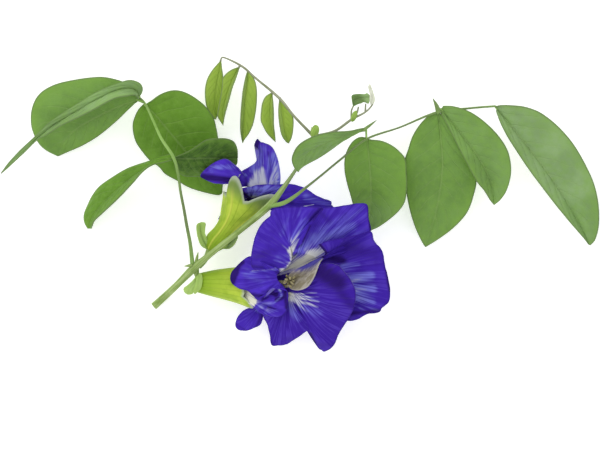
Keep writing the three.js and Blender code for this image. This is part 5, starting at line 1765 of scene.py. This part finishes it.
class PEASHOOT_OT_stage(bpy.types.Operator):
    """Sets the white table, the soft light and the camera that looks straight down"""

    bl_idname = "pea_shoot.stage"
    bl_label = "Table, Light and Camera"

    def execute(self, context):
        scene = context.scene
        stage = scene.pea_shoot_stage
        bm = bmesh.new()
        bmesh.ops.create_grid(bm, x_segments=1, y_segments=1, size=stage.table_size / 2)
        mesh = bpy.data.meshes.new("table_top")
        bm.to_mesh(mesh)
        bm.free()
        # White acrylic over a light box: matt, and bright enough to leave only a faint shadow
        white, _, shader = new_material("White acrylic", 0.9, 0.1)
        shader.inputs["Base Color"].default_value = (0.9, 0.9, 0.9, 1)
        shader.inputs["Emission Color"].default_value = (1, 1, 1, 1)
        shader.inputs["Emission Strength"].default_value = 0.4
        mesh.materials.append(white)
        table = bpy.data.objects.new("table_top", mesh)
        scene.collection.objects.link(table)

        world = bpy.data.worlds.new("Daylight")
        world.use_nodes = True
        sky = world.node_tree.nodes["Background"]
        sky.inputs["Color"].default_value = (1, 1, 1, 1)
        sky.inputs["Strength"].default_value = stage.daylight
        scene.world = world

        lamp = bpy.data.lights.new("soft_lamp", "AREA")
        lamp.shape = "DISK"
        lamp.size = LAMP_SIZE
        lamp.energy = stage.lamp_power
        light = bpy.data.objects.new("soft_lamp", lamp)
        scene.collection.objects.link(light)
        light.location = LAMP_PLACE
        light.rotation_euler = (-light.location).to_track_quat("-Z", "Y").to_euler()

        lens = bpy.data.cameras.new("camera")
        lens.sensor_width = SENSOR_WIDTH
        lens.lens = SENSOR_WIDTH * (stage.camera_height - MIDDLE_HEIGHT) / PICTURE_WIDTH
        camera = bpy.data.objects.new("camera", lens)
        scene.collection.objects.link(camera)
        camera.location = (*LOOK_AT, stage.camera_height)
        scene.camera = camera
        scene.view_settings.view_transform = "Standard"
        return {"FINISHED"}


PIECES = (
    PEASHOOT_OT_stem,
    PEASHOOT_OT_leaves,
    PEASHOOT_OT_tip,
    PEASHOOT_OT_calyces,
    PEASHOOT_OT_petals,
    PEASHOOT_OT_heart,
    PEASHOOT_OT_stage,
)


class PEASHOOT_PT_panel(bpy.types.Panel):
    """Sizes, colours and pieces of the shoot"""

    bl_label = "Pea Shoot"
    bl_idname = "PEASHOOT_PT_panel"
    bl_space_type = "VIEW_3D"
    bl_region_type = "UI"
    bl_category = "Pea Shoot"

    def draw(self, context):
        scene = context.scene
        for group in (scene.pea_shoot_sizes, scene.pea_shoot_colours, scene.pea_shoot_stage):
            box = self.layout.box()
            for name in group.__annotations__:
                box.prop(group, name)
        for piece in PIECES:
            self.layout.operator(piece.bl_idname)


GROUPS = (PeaShootSizes, PeaShootColours, PeaShootStage)


def register():
    for cls in (*GROUPS, *PIECES, PEASHOOT_PT_panel):
        bpy.utils.register_class(cls)
    bpy.types.Scene.pea_shoot_sizes = PointerProperty(type=PeaShootSizes)
    bpy.types.Scene.pea_shoot_colours = PointerProperty(type=PeaShootColours)
    bpy.types.Scene.pea_shoot_stage = PointerProperty(type=PeaShootStage)


def unregister():
    del bpy.types.Scene.pea_shoot_stage
    del bpy.types.Scene.pea_shoot_colours
    del bpy.types.Scene.pea_shoot_sizes
    for cls in reversed((*GROUPS, *PIECES, PEASHOOT_PT_panel)):
        bpy.utils.unregister_class(cls)


def main():
    register()
    bpy.ops.pea_shoot.stage()
    bpy.ops.pea_shoot.stem()
    bpy.ops.pea_shoot.leaves()
    bpy.ops.pea_shoot.tip()
    bpy.ops.pea_shoot.calyces()
    bpy.ops.pea_shoot.petals()
    bpy.ops.pea_shoot.heart()
    bpy.context.view_layer.update()


if __name__ == "__main__":
    main()
